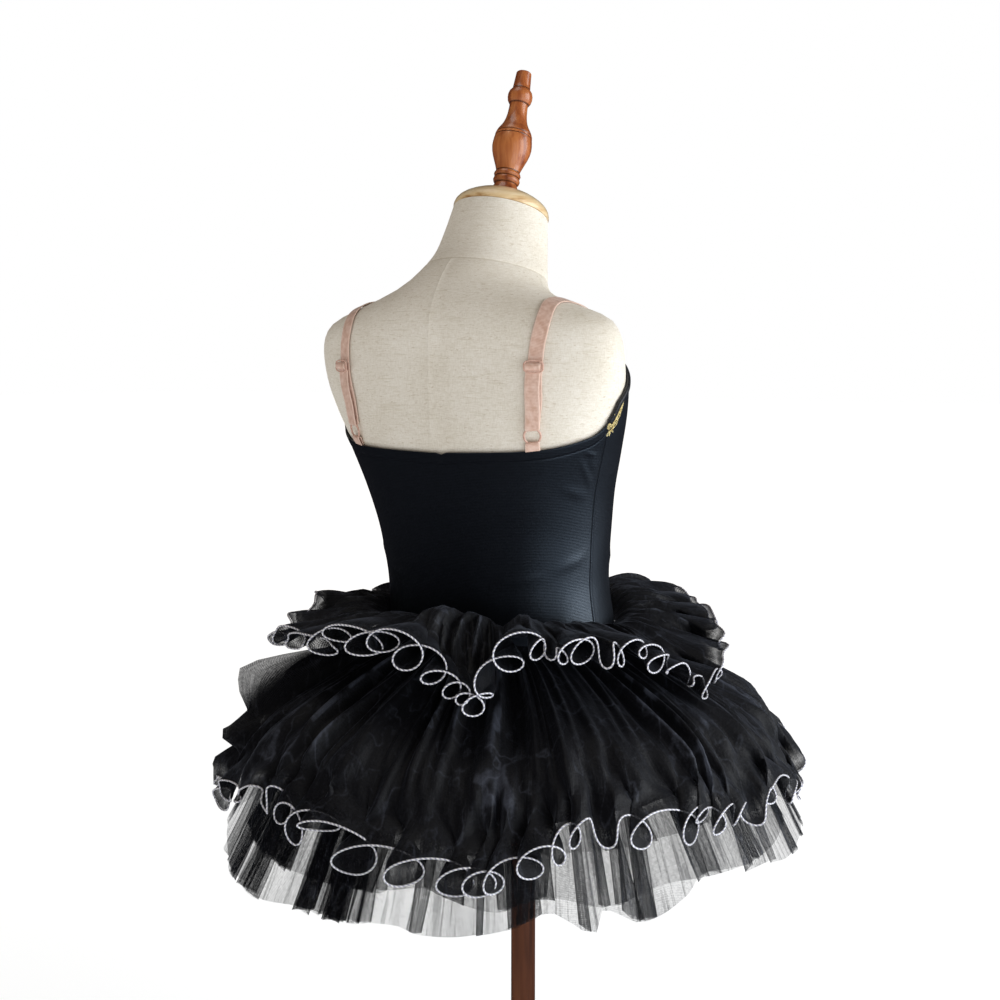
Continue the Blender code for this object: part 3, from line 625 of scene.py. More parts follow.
def tube(name, places, outlines, finish, closed):
    """A skin through outlines of (across, out) set square to a line of places and frames."""
    points = []
    for (place, across, out), outline in zip(places, outlines):
        points += [place + across * x + out * y for x, y in outline]
    rows, count = len(outlines), len(outlines[0])
    faces = grid_faces(rows, count, True, closed)
    if not closed:
        faces += end_faces(rows, count)
    piece = mesh_piece(name, points, faces, finish)
    fix_normals(piece)
    return piece


def fix_normals(piece):
    work = bmesh.new()
    work.from_mesh(piece.data)
    bmesh.ops.recalc_face_normals(work, faces=work.faces)
    work.to_mesh(piece.data)
    work.free()


def edge_frame(degrees, drop):
    """Place, upward and outward directions on the bodice, below the neckline."""
    height = neckline_height(degrees) - drop
    place = body_point(height, degrees, SURFACE)
    along = body_point(neckline_height(degrees + 0.5) - drop, degrees + 0.5, SURFACE) - place
    above = body_point(height + 0.002, degrees, SURFACE) - place
    out = along.cross(above).normalized()
    return place, out.cross(along).normalized(), out, along.normalized()


tape = Finish("black_binding", (0.012, 0.012, 0.015), 0.36, Specular_IOR_Level=0.45)
tape_place = tape.place()
rib = (tape.along(tape_place, 2) * 3000.0 + tape.noise(tape_place, 90.0) * 4.0).wave()
tape.feed(Base_Color=tape.ramp(rib, (0.0, (0.008, 0.008, 0.010)), (1.0, (0.020, 0.021, 0.026))),
          Roughness=0.30 + rib * 0.2)
tape.relief(rib, 0.0001, 0.4)
outline = [(-3.4, 0.05), (-3.5, 0.7), (-3.1, 1.15), (-2.2, 1.2), (-1.0, 1.25), (0.1, 1.2),
           (0.85, 0.8), (1.05, 0.0), (1.0, -1.0), (0.6, -1.6), (0.0, -1.9), (-1.6, -1.95),
           (-2.0, -1.6), (-1.6, -1.25), (-0.4, -1.2), (0.15, -1.0), (0.15, -0.1), (-1.0, 0.05)]
places, outlines = [], []
for step in range(241):
    degrees = 180.0 - SIDE_SEAM + (180.0 + 2 * SIDE_SEAM) * step / 240
    places.append(edge_frame(degrees, 0.0)[:3])
    outlines.append([(x * MM, y * MM) for x, y in outline])
set_down(tube("folded_binding", places, outlines, tape, False), Matrix(), "black_binding",
         "neckline_binding")

gold = Finish("gold_braid", (0.90, 0.74, 0.34), 0.34, Metallic=0.45)
gold_place = gold.place()
strand = gold.noise(gold_place, 1900.0, 2.0)
gold.feed(Base_Color=gold.ramp(strand * 0.6 + gold.noise(gold_place, 160.0) * 0.4,
                               (0.35, (0.66, 0.46, 0.14)), (0.52, (0.93, 0.79, 0.38)),
                               (0.68, (1.0, 0.93, 0.62))),
          Roughness=0.24 + strand * 0.25)
gold.relief(strand, 0.0002, 0.8)

# A scroll of gold cord lies every few millimetres along the edge: a curl, a smaller curl
# turned the other way, and a leaf between them.
def scroll(size, curl):
    """Points of a curl that unrolls and rolls up again the other way, round (0, 0)."""
    points = []
    for step in range(25):
        share = step / 24
        turn = curl * (1 - 2 * share) * math.radians(300) * abs(1 - 2 * share) ** 0.3
        reach = size * (0.22 + 0.78 * (1 - abs(1 - 2 * share)))
        points.append((size * 1.3 * (share - 0.5) + 0.6 * reach * math.sin(turn),
                       curl * size * 0.9 * (share - 0.5) + 0.6 * reach * math.cos(turn)))
    return points


def couched(path, degrees, drop, mirror, points, faces, radius):
    """Lay a cord of gold along a path drawn on the bodice, round a place below its edge."""
    spots = []
    place, up, out, along = edge_frame(degrees, drop)
    for x, y in path:
        spots.append(place + along * (x * mirror) + up * y + out * radius * 0.9)
    first = len(points)
    for index, spot in enumerate(spots):
        ahead = spots[min(index + 1, len(spots) - 1)] - spots[max(index - 1, 0)]
        side = ahead.cross(out).normalized()
        swell = radius * (0.85 + 0.25 * math.sin(index * 2.4))
        for corner in range(6):
            angle = math.tau * corner / 6
            points.append(spot + (side * math.cos(angle) + out * math.sin(angle)) * swell)
    faces += grid_faces(len(spots), 6, True, first=first) + end_faces(len(spots), 6, first)


def leaf(size):
    """Points round a pointed leaf."""
    return [(size * (0.5 - math.cos(math.tau * step / 16) / 2),
             size * 0.26 * math.sin(math.tau * step / 16)
             * abs(math.sin(math.pi * step / 16)) ** 0.4) for step in range(17)]


chance = random.Random(7)
points, faces = [], []
degrees = 180.0 - SIDE_SEAM + 1.6
while degrees < 360.0 + SIDE_SEAM - 1.2:
    from_seam = min(degrees - 180.0 + SIDE_SEAM, 360.0 + SIDE_SEAM - degrees)
    wide = 0.6 + 3.7 * math.exp(-((from_seam - 4.5) / 4.8) ** 2) \
        + 2.2 * math.exp(-((degrees - 270.0) / 16.0) ** 2)
    mirror = 1 if degrees < 270 else -1
    drop = (1.7 + 1.05 * wide + chance.uniform(-0.3, 0.3)) * MM
    curl = chance.choice((-1, 1))
    size = wide * 1.6 * MM
    couched(scroll(size, curl), degrees, drop, mirror, points, faces, 0.00052)
    couched(scroll(size * 0.62, -curl), degrees + 0.9, drop + max(curl, -0.2) * size * 0.55,
            -mirror, points, faces, 0.00044)
    if wide > 1.3:
        couched(leaf(size * 1.5), degrees - 0.7, drop + size * 0.8, mirror, points, faces,
                0.00034)
        couched(scroll(size * 0.5, curl), degrees - 0.4, drop + size * 1.25, mirror, points,
                faces, 0.00034)
    degrees += (1.1 + 0.34 * wide) * chance.uniform(0.85, 1.1)
braid = mesh_piece("gold_scrolls", points, faces, gold)
fix_normals(braid)
set_down(braid, Matrix(), "gold_braid", "gold_braid")

# ---- the shoulder straps and their fittings -----------------------------------------------
# Each strap is a nude satin elastic. It runs from the front edge over the shoulder, through
# a wire slider and a ring, and back up to the slider's middle bar, where it is sewn down.
# A short tab of the same elastic holds the ring to the bodice.
StrapPoint = namedtuple("StrapPoint", "height from_centre")
LEFT_STRAP, RIGHT_STRAP, STRAP_FRONT = ([StrapPoint(*row) for row in rows] for rows in (
    ((0.6123, 0.0820), (0.6320, 0.0840), (0.6480, 0.0874), (0.6645, 0.0890), (0.6800, 0.0891),
     (0.6930, 0.0878), (0.7040, 0.0884), (0.7105, 0.0890)),
    ((0.6123, 0.0822), (0.6320, 0.0846), (0.6480, 0.0861), (0.6645, 0.0881), (0.6800, 0.0899),
     (0.6890, 0.0914), (0.6980, 0.0921), (0.7050, 0.0915), (0.7105, 0.0890)),
    ((0.6778, 0.0810), (0.6950, 0.0828), (0.7105, 0.0890)),
))
STRAP_WIDTH = 11.8 * MM
ELASTIC = 1.0 * MM
# Where the fittings of each strap lie.
LEFT_FITTINGS, RIGHT_FITTINGS = ([StrapPoint(*row) for row in rows] for rows in (
    ((0.5900, 0.0790), (0.6123, 0.0823), (0.6320, 0.0843), (0.6480, 0.0879), (0.6645, 0.0895)),
    ((0.5900, 0.0800), (0.6123, 0.0826), (0.6320, 0.0852), (0.6480, 0.0862), (0.6645, 0.0880)),
))
RING_HEIGHT = 0.6123
RING_RADIUS = 6.3 * MM
SLIDER_HEIGHT = 0.6638
STRAP_END_FRONT = 0.6778


def body_at_width(height, x, front):
    """The point of the form's back or front that lies at a given x."""
    cut = section_at(height)
    share = min(abs(x) / cut.half_width, 1.0)
    depth = cut.front_y - cut.side_y if front else cut.back_y - cut.side_y
    y = cut.side_y + depth * (1 - share ** cut.square) ** (1 / cut.square)
    return Vector((x, y, height + cut.slope * (y - cut.side_y)))


def height_of_width(x):
    """Height at which the shoulder's slope has come in to a given half width."""
    low, high = 0.690, 0.740
    for _ in range(40):
        middle = (low + high) / 2
        low, high = (middle, high) if section_at(middle).half_width > abs(x) else (low, middle)
    return (low + high) / 2


def eased(value):
    value = min(max(value, 0.0), 1.0)
    return value * value * (3 - 2 * value)


def strap_edge(side, across, low, front, steps):
    """One edge of a strap up the back or the front, to the top of the shoulder."""
    table = STRAP_FRONT if front else LEFT_STRAP if side > 0 else RIGHT_STRAP
    top = height_of_width(table[-1].from_centre + across)
    points = []
    for step in range(steps):
        height = low + (top - low) * (1 - (1 - step / (steps - 1)) ** 2)
        x = smooth_value(table, "from_centre", height) + across
        points.append(body_at_width(height, side * x, front))
    return points


def band(name, middle, across_axes, outs, widths):
    """An elastic band along a line of places, slightly domed, with rounded selvedges."""
    shape = [(-0.5, 0.0), (-0.485, 0.36), (-0.44, 0.50), (-0.36, 0.47), (-0.2, 0.5), (0.0, 0.51),
             (0.2, 0.5), (0.36, 0.47), (0.44, 0.50), (0.485, 0.36), (0.5, 0.0), (0.485, -0.36),
             (0.44, -0.5), (0.2, -0.5), (0.0, -0.5), (-0.2, -0.5), (-0.44, -0.5),
             (-0.485, -0.36)]
    places = list(zip(middle, across_axes, outs))
    outlines = [[(x * wide, y * ELASTIC) for x, y in shape] for wide in widths]
    piece = tube(name, places, outlines, elastic, False)
    length = [0.0]
    for before, after in zip(middle, middle[1:]):
        length.append(length[-1] + (after - before).length)
    layer = piece.data.uv_layers.new(name="ribs").data
    count = len(shape)
    for loop in piece.data.loops:
        row, corner = divmod(loop.vertex_index, count)
        layer[loop.index].uv = (shape[corner][0], length[row])
    piece.data.set_sharp_from_angle(angle=math.radians(60.0))
    return piece, length[-1]


elastic = Finish("nude_elastic", (0.66, 0.45, 0.36), 0.42, Specular_IOR_Level=0.35,
                 Sheen_Weight=0.3, Sheen_Roughness=0.4)
ribs_uv = elastic.node("ShaderNodeUVMap", {"uv_map": "ribs"}, {})
rib_wave = (elastic.along(ribs_uv, 1) * (math.tau / 0.0011)).wave()
selvedge = elastic.node("ShaderNodeMath", {"operation": "ABSOLUTE"},
                        [elastic.along(ribs_uv, 0)]).between(0.37, 0.44)
satin_bloom = elastic.noise(elastic.place(), 260.0, 2.0)
band_colour = elastic.ramp(rib_wave * 0.2 + satin_bloom * 0.8, (0.30, (0.60, 0.37, 0.275)),
                           (0.50, (0.71, 0.48, 0.385)), (0.70, (0.80, 0.60, 0.51)))
elastic.feed(Base_Color=elastic.blend(selvedge * 0.55, band_colour, (0.82, 0.63, 0.53)),
             Roughness=0.36 + rib_wave * 0.2)
elastic.relief(rib_wave * (1.0 - selvedge), 0.00007, 0.5)
enamel = Finish("nude_enamel", (0.52, 0.31, 0.24), 0.22, Coat_Weight=0.7, Coat_Roughness=0.08)
enamel_bloom = enamel.noise(enamel.place(), 420.0, 2.0)
enamel.feed(Base_Color=enamel.ramp(enamel_bloom, (0.35, (0.60, 0.36, 0.28)),
                                   (0.65, (0.74, 0.49, 0.40))),
            Roughness=0.18 + enamel_bloom * 0.12)


def strap_frame(side, height, aside=0.0):
    """Place and directions (across, up, out) of a fitting on the back strap."""
    fittings = LEFT_FITTINGS if side > 0 else RIGHT_FITTINGS
    x = side * smooth_value(fittings, "from_centre", height) + aside
    place = body_at_width(height, x, False)
    up = (body_at_width(height + 5 * MM, x, False) - place).normalized()
    across = (body_at_width(height, x - 3 * MM, False)
              - body_at_width(height, x + 3 * MM, False)).normalized()
    out = across.cross(up).normalized()
    if out.y < 0:
        out.negate()
    return place, up.cross(out).normalized(), up, out


def fitted_band(name, spots, side):
    """A band whose spots are (height, lift off the form, sideways, width) on the back."""
    middle, across_axes, outs, widths = [], [], [], []
    for height, lift, aside, wide in spots:
        place, across, up, out = strap_frame(side, height, aside)
        middle.append(place + out * lift)
        across_axes.append(across)
        widths.append(wide)
    for index in range(len(middle)):
        ahead = middle[min(index + 1, len(middle) - 1)] - middle[max(index - 1, 0)]
        outs.append(across_axes[index].cross(ahead).normalized())
    return band(name, middle, across_axes, outs, widths)


def fitting_place(side, height, lift):
    """Where a fitting lies on the back strap, some way off the form."""
    place, across, up, out = strap_frame(side, height)
    turn = Matrix((across, up, out)).transposed().to_4x4()
    return Matrix.Translation(place + out * lift * MM) @ turn


def wire_slider(name):
    """A wire oblong with a bar across its middle, enamelled to match the elastic."""
    bpy.ops.object.select_all(action="DESELECT")
    bpy.ops.mesh.primitive_grid_add(x_subdivisions=1, y_subdivisions=2, size=1.0)
    piece = bpy.context.object
    piece.name = piece.data.name = name
    bpy.ops.object.mode_set(mode="EDIT")
    bpy.ops.mesh.select_all(action="SELECT")
    bpy.ops.transform.resize(value=(14.9 * MM, 9.6 * MM, 1.0))
    bpy.ops.object.mode_set(mode="OBJECT")
    wire = piece.modifiers.new("wire", "WIREFRAME")
    wire.thickness = 1.7 * MM
    wire.use_boundary = True
    rounding = piece.modifiers.new("rounding", "SUBSURF")
    rounding.levels = rounding.render_levels = 3
    for modifier in ("wire", "rounding"):
        bpy.ops.object.modifier_apply(modifier=modifier)
    bpy.ops.object.shade_smooth()
    piece.data.materials.append(enamel.material)
    return piece


for side, word in ((1, "left"), (-1, "right")):
    # The strap itself, from the ring up the back, over the shoulder and down the front.
    low = RING_HEIGHT + 5.2 * MM
    rows = []
    for across in (STRAP_WIDTH / 2, -STRAP_WIDTH / 2):
        up_back = strap_edge(side, across, low, False, 46)
        up_front = strap_edge(side, across, STRAP_END_FRONT, True, 36)
        rows.append(up_back + up_front[-2::-1])
    middle, across_axes, outs = [], [], []
    for index, (outer, inner) in enumerate(zip(*rows)):
        ahead = rows[0][min(index + 1, len(rows[0]) - 1)] - rows[0][max(index - 1, 0)]
        across = (outer - inner).normalized()
        out = across.cross(ahead).normalized()
        if side > 0:
            out.negate()
        slack = 0.0014 * math.exp(-((outer.z - 0.640) / 0.014) ** 2) * (index < 46) * side
        lift = (0.8 - 0.6 * eased((index - 36) / 12)) * MM + ELASTIC / 2
        middle.append((outer + inner) / 2 + out * lift - across * slack * 1.2)
        across_axes.append(across)
        outs.append(out)
    strap, long = band("shoulder_strap_" + word, middle, across_axes, outs,
                       [STRAP_WIDTH] * len(middle))
    set_down(strap, Matrix(), "nude_elastic", "strap_" + word)
    # Its end comes forward through the ring, up to the slider and over the middle bar.
    aside = 0.0006
    spots = [(low + up * MM, lift * MM, 0.0, wide * MM) for up, lift, wide in (
        (3.0, 1.5, 10.2), (0.6, 1.4, 10.4), (-0.7, 1.9, 10.6), (-0.9, 2.6, 10.8),
        (-0.4, 3.3, 11.0), (0.8, 3.6, 11.2))]
    start, end = low + 3.0 * MM, SLIDER_HEIGHT - 6.0 * MM
    for step in range(13):
        share = step / 12
        spots.append((start + (end - start) * share,
                      (3.5 - 0.9 * eased(share * 2.5)) * MM + 0.5 * MM * math.sin(math.pi * share),
                      aside * share, (11.3 + 0.4 * share) * MM))
    for up, lift, wide in ((-4.6, 2.3, 11.7), (-3.5, 2.5, 11.7), (-2.8, 3.2, 11.8),
                           (-2.2, 4.4, 11.9), (-1.3, 5.3, 12.0), (0.0, 5.7, 12.0),
                           (1.3, 5.3, 12.0), (2.2, 4.4, 11.9), (2.6, 3.4, 11.8),
                           (2.7, 2.7, 11.7)):
        spots.append((SLIDER_HEIGHT + up * MM, lift * MM, aside, wide * MM))
    end_piece, long = fitted_band("turned_end_" + word, spots, side)
    set_down(end_piece, Matrix(), "nude_elastic", "strap_end_" + word)
    set_down(wire_slider("wire_slider_" + word), fitting_place(side, SLIDER_HEIGHT, 4.9),
             "nude_enamel", "slider_" + word)
    bpy.ops.object.select_all(action="DESELECT")
    bpy.ops.mesh.primitive_torus_add(major_radius=RING_RADIUS, minor_radius=0.85 * MM,
                                     major_segments=56, minor_segments=14)
    ring = bpy.context.object
    ring.name = ring.data.name = "wire_ring_" + word
    bpy.ops.object.shade_smooth()
    ring.data.materials.append(enamel.material)
    set_down(ring, fitting_place(side, RING_HEIGHT, 2.5), "nude_enamel", "ring_" + word)
    # The tab goes up through the ring and back down behind itself.
    top = RING_HEIGHT - 4.9 * MM
    spots = [(height, lift * MM, 0.0, wide * MM) for height, lift, wide in (
        (0.5945, 0.9, 11.4), (0.5985, 1.3, 11.4), (0.6008, 2.1, 11.5), (0.6035, 3.1, 11.5),
        (top - 1.4 * MM, 3.6, 11.3), (top - 0.3 * MM, 3.5, 11.0), (top + 0.3 * MM, 2.9, 10.8),
        (top + 0.2 * MM, 2.0, 10.8), (top - 0.8 * MM, 1.3, 10.9), (0.6015, 0.8, 11.0),
        (0.5950, 0.55, 11.0))]
    tab, long = fitted_band("ring_tab_" + word, spots, side)
    set_down(tab, Matrix(), "nude_elastic", "tab_" + word)

# ---- the skirts: what they share ----------------------------------------------------------
# Every skirt is a long strip of stiff tulle or satin gathered into the waist seam. From the
# seam it follows the body, then opens out into a round, held out by the nets below it.
Ring = namedtuple("Ring", "share radius height blend")
AXIS_Y = {"peplum": 0.029, "tier": 0.023, "net": 0.014}


def body_radius(height, angle, outwards):
    """Distance from the body's own axis to its surface in the direction of an angle."""
    cut = section_at(height)
    depth = cut.back_y - cut.side_y if math.sin(angle) > 0 else cut.side_y - cut.front_y
    across = abs(math.cos(angle)) / (cut.half_width + outwards)
    through = abs(math.sin(angle)) / (depth + outwards)
    return (across ** cut.square + through ** cut.square) ** (-1 / cut.square)


def skirt_ribs(rings, axis_y, degrees):
    """Where a skirt's rings stand in the direction of an angle, from the seam outwards."""
    angle, seam = math.radians(degrees), rings[0].height
    body_y = section_at(seam).side_y
    at_seam = body_radius(seam, angle, SURFACE + GAP / 2)
    ribs = []
    for ring in rings:
        radius = at_seam + (ring.radius - at_seam) * ring.blend
        if 0 < ring.blend < 1:
            radius = max(radius, at_seam + 0.006)
        centre_y = body_y + (axis_y - body_y) * ring.blend
        ribs.append(Vector((radius * math.cos(angle), centre_y + radius * math.sin(angle),
                            ring.height)))
    return ribs


def on_ribs(rings, ribs, share):
    """A point of a skirt part of the way from its seam to its edge."""
    last = len(rings) - 1
    index = max(i for i in range(last) if rings[i].share <= share or i == 0)
    step = rings[index + 1].share - rings[index].share

    def slope(i):
        low, high = max(i - 1, 0), min(i + 1, last)
        return (ribs[high] - ribs[low]) / (rings[high].share - rings[low].share)

    return curve((share - rings[index].share) / step, step, ribs[index], slope(index),
                 ribs[index + 1], slope(index + 1))


def tulle_sheet(name, grid, widths, lengths, marks, finish):
    """A closed sheet from rows of points; its UV map is the flat strip in metres."""
    rows, columns = len(grid), len(grid[0])
    points = [point for row in grid for point in row]
    piece = mesh_piece(name, points, grid_faces(rows, columns, True), finish)
    layer = piece.data.uv_layers.new(name="strip").data
    for polygon in piece.data.polygons:
        wraps = {0, columns - 1} <= {vertex % columns for vertex in polygon.vertices}
        for loop in polygon.loop_indices:
            row, column = divmod(piece.data.loops[loop].vertex_index, columns)
            across = widths[-1] if wraps and column == 0 else widths[column]
            layer[loop].uv = (across, lengths[row])
    for mark, values in marks.items():
        layer = piece.data.attributes.new(mark, "FLOAT", "POINT")
        layer.data.foreach_set("value", [value for row in values for value in row])
    piece.data.set_sharp_from_angle(angle=math.radians(50.0))
    return piece


def cut_area(grid):
    """Area of the flared strip that is as wide at every height as the skirt is there."""
    area = 0.0
    for low, high in zip(grid, grid[1:]):
        wide = sum(((a - b).length + (c - d).length) / 2
                   for a, b, c, d in zip(low, low[1:] + low[:1], high, high[1:] + high[:1]))
        area += wide * sum((a - b).length for a, b in zip(low, high)) / len(low)
    return area


TULLE_MESH = 0.0011


def tulle(name, cover, threads, shine, creases, layers, sharp):
    """Nylon net: dark threads with small holes between them, streaked by its creases, its colour
    lightened by painted sheen on fold crests and crumple ridges.
    """
    finish = Finish(name, (0.010, 0.010, 0.013), 0.5, Specular_IOR_Level=0.25,
                    Sheen_Weight=shine, Sheen_Roughness=0.35, Sheen_Tint=(0.72, 0.80, 1.0, 1.0))
    uv = finish.node("ShaderNodeUVMap", {"uv_map": "strip"}, {})
    across, down = finish.along(uv, 0), finish.along(uv, 1)
    pitch = math.tau / TULLE_MESH
    tilted = down * (pitch * 0.866)
    half = across * (pitch * 0.5)
    cells = ((across * pitch).sum("COSINE", across * pitch)
             + half.sum("COSINE", half + tilted) + half.sum("COSINE", half - tilted))
    holes = cells.between(-0.3, 1.3)

    def streaks(turn, scale, low, high):
        stretched = finish.node("ShaderNodeMapping", {}, {
            "Vector": uv, "Rotation": (0, 0, math.radians(turn)), "Scale": (scale, 9.0, 1.0)})
        return finish.noise(stretched, 1.0, 1.0, 0.6).between(low, high)

    lines = (streaks(6.0, 240.0, 0.57, 0.66) * 0.12
             + streaks(-15.0, 300.0, 0.58, 0.66) * 0.16
             + streaks(21.0, 150.0, 0.60, 0.68) * 0.14
             + streaks(9.0, 46.0, 0.42, 0.70) * 0.14) * creases
    mottle = finish.noise(finish.place(), 520.0, 2.0)
    alpha = (cover + (1.0 - holes) * threads + lines + finish.read("dense") ** sharp * layers
             + (mottle - 0.5) * 0.34)
    # Painted sheen: the colour turns a lighter blue-grey on the crests of the folds, in soft patches
    # along them, and on thin ridge lines of a crumple noise. It stands in for the key light catching
    # the folds.
    painted_sheen_patches = finish.noise(finish.place((1.6, 1.6, 0.3)), 42.0, 1.0).between(0.30, 0.74)
    crumple = finish.noise(finish.place((1.0, 1.0, 0.17)), 56.0, 1.6, 0.55)
    painted_ridge_highlights = crumple.between(0.46, 0.50) * (1.0 - crumple.between(0.50, 0.54))
    crest = finish.read("crest")
    tone_and_painted_sheen = (crest * painted_sheen_patches * 0.30 + crest.between(0.66, 0.90) * painted_sheen_patches.between(0.1, 0.6) * 0.40
             + painted_ridge_highlights * (0.08 + painted_sheen_patches * 0.30) + mottle * 0.5 - 0.23 + lines - holes * 0.15)
    # The lighter, bluer colour of this blend is the painted sheen. Mottle, crease streaks and holes
    # only vary the net's own dark tone.
    finish.feed(Alpha=alpha.between(-0.05, 1.05),
                Base_Color=finish.blend(tone_and_painted_sheen.between(0.0, 1.0), (0.0040, 0.0040, 0.0055),
                                        (0.062, 0.070, 0.094)),
                Roughness=0.45 + mottle * 0.2)
    finish.relief(mottle * 0.4 + lines + crumple * 1.4, 0.0018, 0.6)
    return finish


# ---- the nets and the lining --------------------------------------------------------------
# Three stiff nets, folded into uneven knife pleats and cut off plain, hold the skirt out.
# Inside them hangs a plain skirt of black satin.
OUTER_NET = (Ring(0.0, 0.0, 0.4385, 0.0), Ring(0.26, 0.140, 0.4120, 0.7),
             Ring(0.56, 0.196, 0.3620, 1.0), Ring(1.0, 0.249, 0.2700, 1.0))
INNER_NET = (Ring(0.0, 0.0, 0.4320, 0.0), Ring(0.26, 0.131, 0.4020, 0.7),
             Ring(0.57, 0.184, 0.3500, 1.0), Ring(1.0, 0.232, 0.2750, 1.0))
SHORT_NET = (Ring(0.0, 0.0, 0.4255, 0.0), Ring(0.48, 0.146, 0.3650, 0.8),
             Ring(1.0, 0.185, 0.3020, 1.0))
LINING = (Ring(0.0, 0.0, 0.4200, 0.0), Ring(0.5, 0.128, 0.3680, 0.8),
          Ring(1.0, 0.157, 0.3220, 1.0))
OUTER_HEM = table(
    EdgePoint,
    (44.0, 0.2725), (57.8, 0.2650), (71.2, 0.2630), (81.0, 0.2674), (92.3, 0.2677),
    (101.6, 0.2711), (105.5, 0.2682), (112.8, 0.2683), (121.2, 0.2747), (127.5, 0.2814),
    (130.4, 0.2772), (135.2, 0.2697), (136.2, 0.2817), (143.2, 0.2734), (153.0, 0.2822),
    (156.4, 0.2902), (161.2, 0.2892), (175.4, 0.2832), (183.3, 0.2782), (198.9, 0.2771),
    (232.0, 0.2720), (266.0, 0.2690), (301.0, 0.2710), (336.0, 0.2690), (404.0, 0.2725))
# Between bundles the net lies flat; in a bundle it is folded back and forth on itself.
Bundle = namedtuple("Bundle", "start end forward back")
OUTER_BUNDLES = table(
    Bundle,
    (45.0, 53.0, 6.0, 4.3), (55.0, 72.0, 6.2, 4.7), (79.0, 97.0, 3.8, 3.1),
    (102.0, 108.0, 4.5, 2.9), (113.0, 116.4, 2.6, 1.4), (120.0, 126.0, 4.7, 2.7),
    (131.0, 136.0, 3.4, 2.3), (140.0, 146.0, 4.6, 3.0), (154.0, 162.0, 5.6, 4.1),
    (166.0, 171.0, 4.2, 2.7), (175.0, 182.0, 6.0, 4.2), (184.5, 192.0, 6.0, 4.3),
    (195.0, 199.0, 3.8, 2.4))
# A turn is where the strip is folded back: its place at the hem and how much further round
# the same fold line starts at the waist, in degrees.
Turn = namedtuple("Turn", "hem waist")
BUNDLE_GAP = 8.0
NET_ROWS = 15
NET_COLUMN = 0.006
LAYER = 0.0011


def turns_of(bundles, start, seed, size):
    """The turns of a net: those of its bundles, then more of the same on round the form."""
    chance = random.Random(seed)
    bundles = list(bundles)
    at = bundles[-1].end
    while at < start + 360.0 - BUNDLE_GAP - size:
        first = at + BUNDLE_GAP * chance.uniform(0.3, 1.2)
        at = first + size * chance.uniform(0.35, 1.3)
        forward = chance.uniform(4.5, 8.5)
        bundles.append(Bundle(first, at, forward, forward * chance.uniform(0.45, 0.75)))
    turns = [Turn(start, 0.0)]
    for bundle in bundles:
        at = bundle.start + bundle.forward * chance.uniform(0.6, 1.3)
        while at < bundle.end:
            tilt = 0.9 * bundle.forward
            turns.append(Turn(at, chance.uniform(-tilt, tilt)))
            at -= bundle.back * chance.uniform(0.6, 1.3)
            turns.append(Turn(at, chance.uniform(-tilt, tilt)))
            at += bundle.forward * chance.uniform(0.7, 1.35)
    return turns


def pleated_net(name, rings, turns, hem, seed, node):
    """A strip folded at every turn, with its hem cut a little slanting panel by panel."""
    chance = random.Random(seed)
    turns = turns + [Turn(turns[0].hem + 360.0, turns[0].waist)]
    spots, total = [], 0.0
    layer = 0
    for index, (here, there) in enumerate(zip(turns, turns[1:])):
        width = math.radians(abs(there.hem - here.hem)) * rings[-1].radius
        count = max(round(width / NET_COLUMN), 2)
        next_layer = layer + (1 if there.hem < here.hem else -1) * LAYER
        sag = chance.uniform(0.6, 1.6) * 0.0012 * (1 if index % 2 else -1)
        cut = chance.uniform(-0.0012, 0.0012)
        slant = chance.uniform(-0.3, 0.3) * min(width, 0.012)
        for part in range(count):
            u = part / count
            spots.append((here.hem + (there.hem - here.hem) * u,
                          here.waist + (there.waist - here.waist) * u,
                          layer + (next_layer - layer) * u, sag * math.sin(math.pi * u),
                          cut + slant * (u - 0.5), total + width * u,
                          1.0 if part == 0 else 0.0))
        layer = next_layer
        total += width
    drift = spots[-1][2] / len(spots)
    grid, lines = [], []
    for row in range(NET_ROWS):
        share = 1 - row / (NET_ROWS - 1)
        line = []
        for column, (degrees, waist, layer, sag, cut, _, _) in enumerate(spots):
            angle = degrees + waist * (1 - share) * 1.6
            ribs = skirt_ribs(rings, AXIS_Y["net"], angle)
            low = smooth_value(hem, "height", (angle - hem[0].angle) % 360.0 + hem[0].angle)
            reach = 1 + (cut + rings[-1].height - low) * 5.2
            place = on_ribs(rings, ribs, min(share * (1 - (1 - reach) * share ** 2), 1.3))
            swell = share ** 1.2
            out = (layer - drift * column) * (0.35 + 0.65 * swell) + sag * swell
            turn = math.radians(angle)
            line.append(place + Vector((math.cos(turn), math.sin(turn), 0.35)) * out)
        grid.append(line)
        lines.append([spot[6] for spot in spots])
    length = sum((low[0] - high[0]).length for low, high in zip(grid, grid[1:]))
    piece = tulle_sheet(name, grid, [spot[5] for spot in spots],
                        [length * row / (NET_ROWS - 1) for row in range(NET_ROWS)],
                        {"dense": lines}, net_finish)
    cut_area(grid)
    set_down(piece, Matrix(), "black_tulle", node)
    return piece


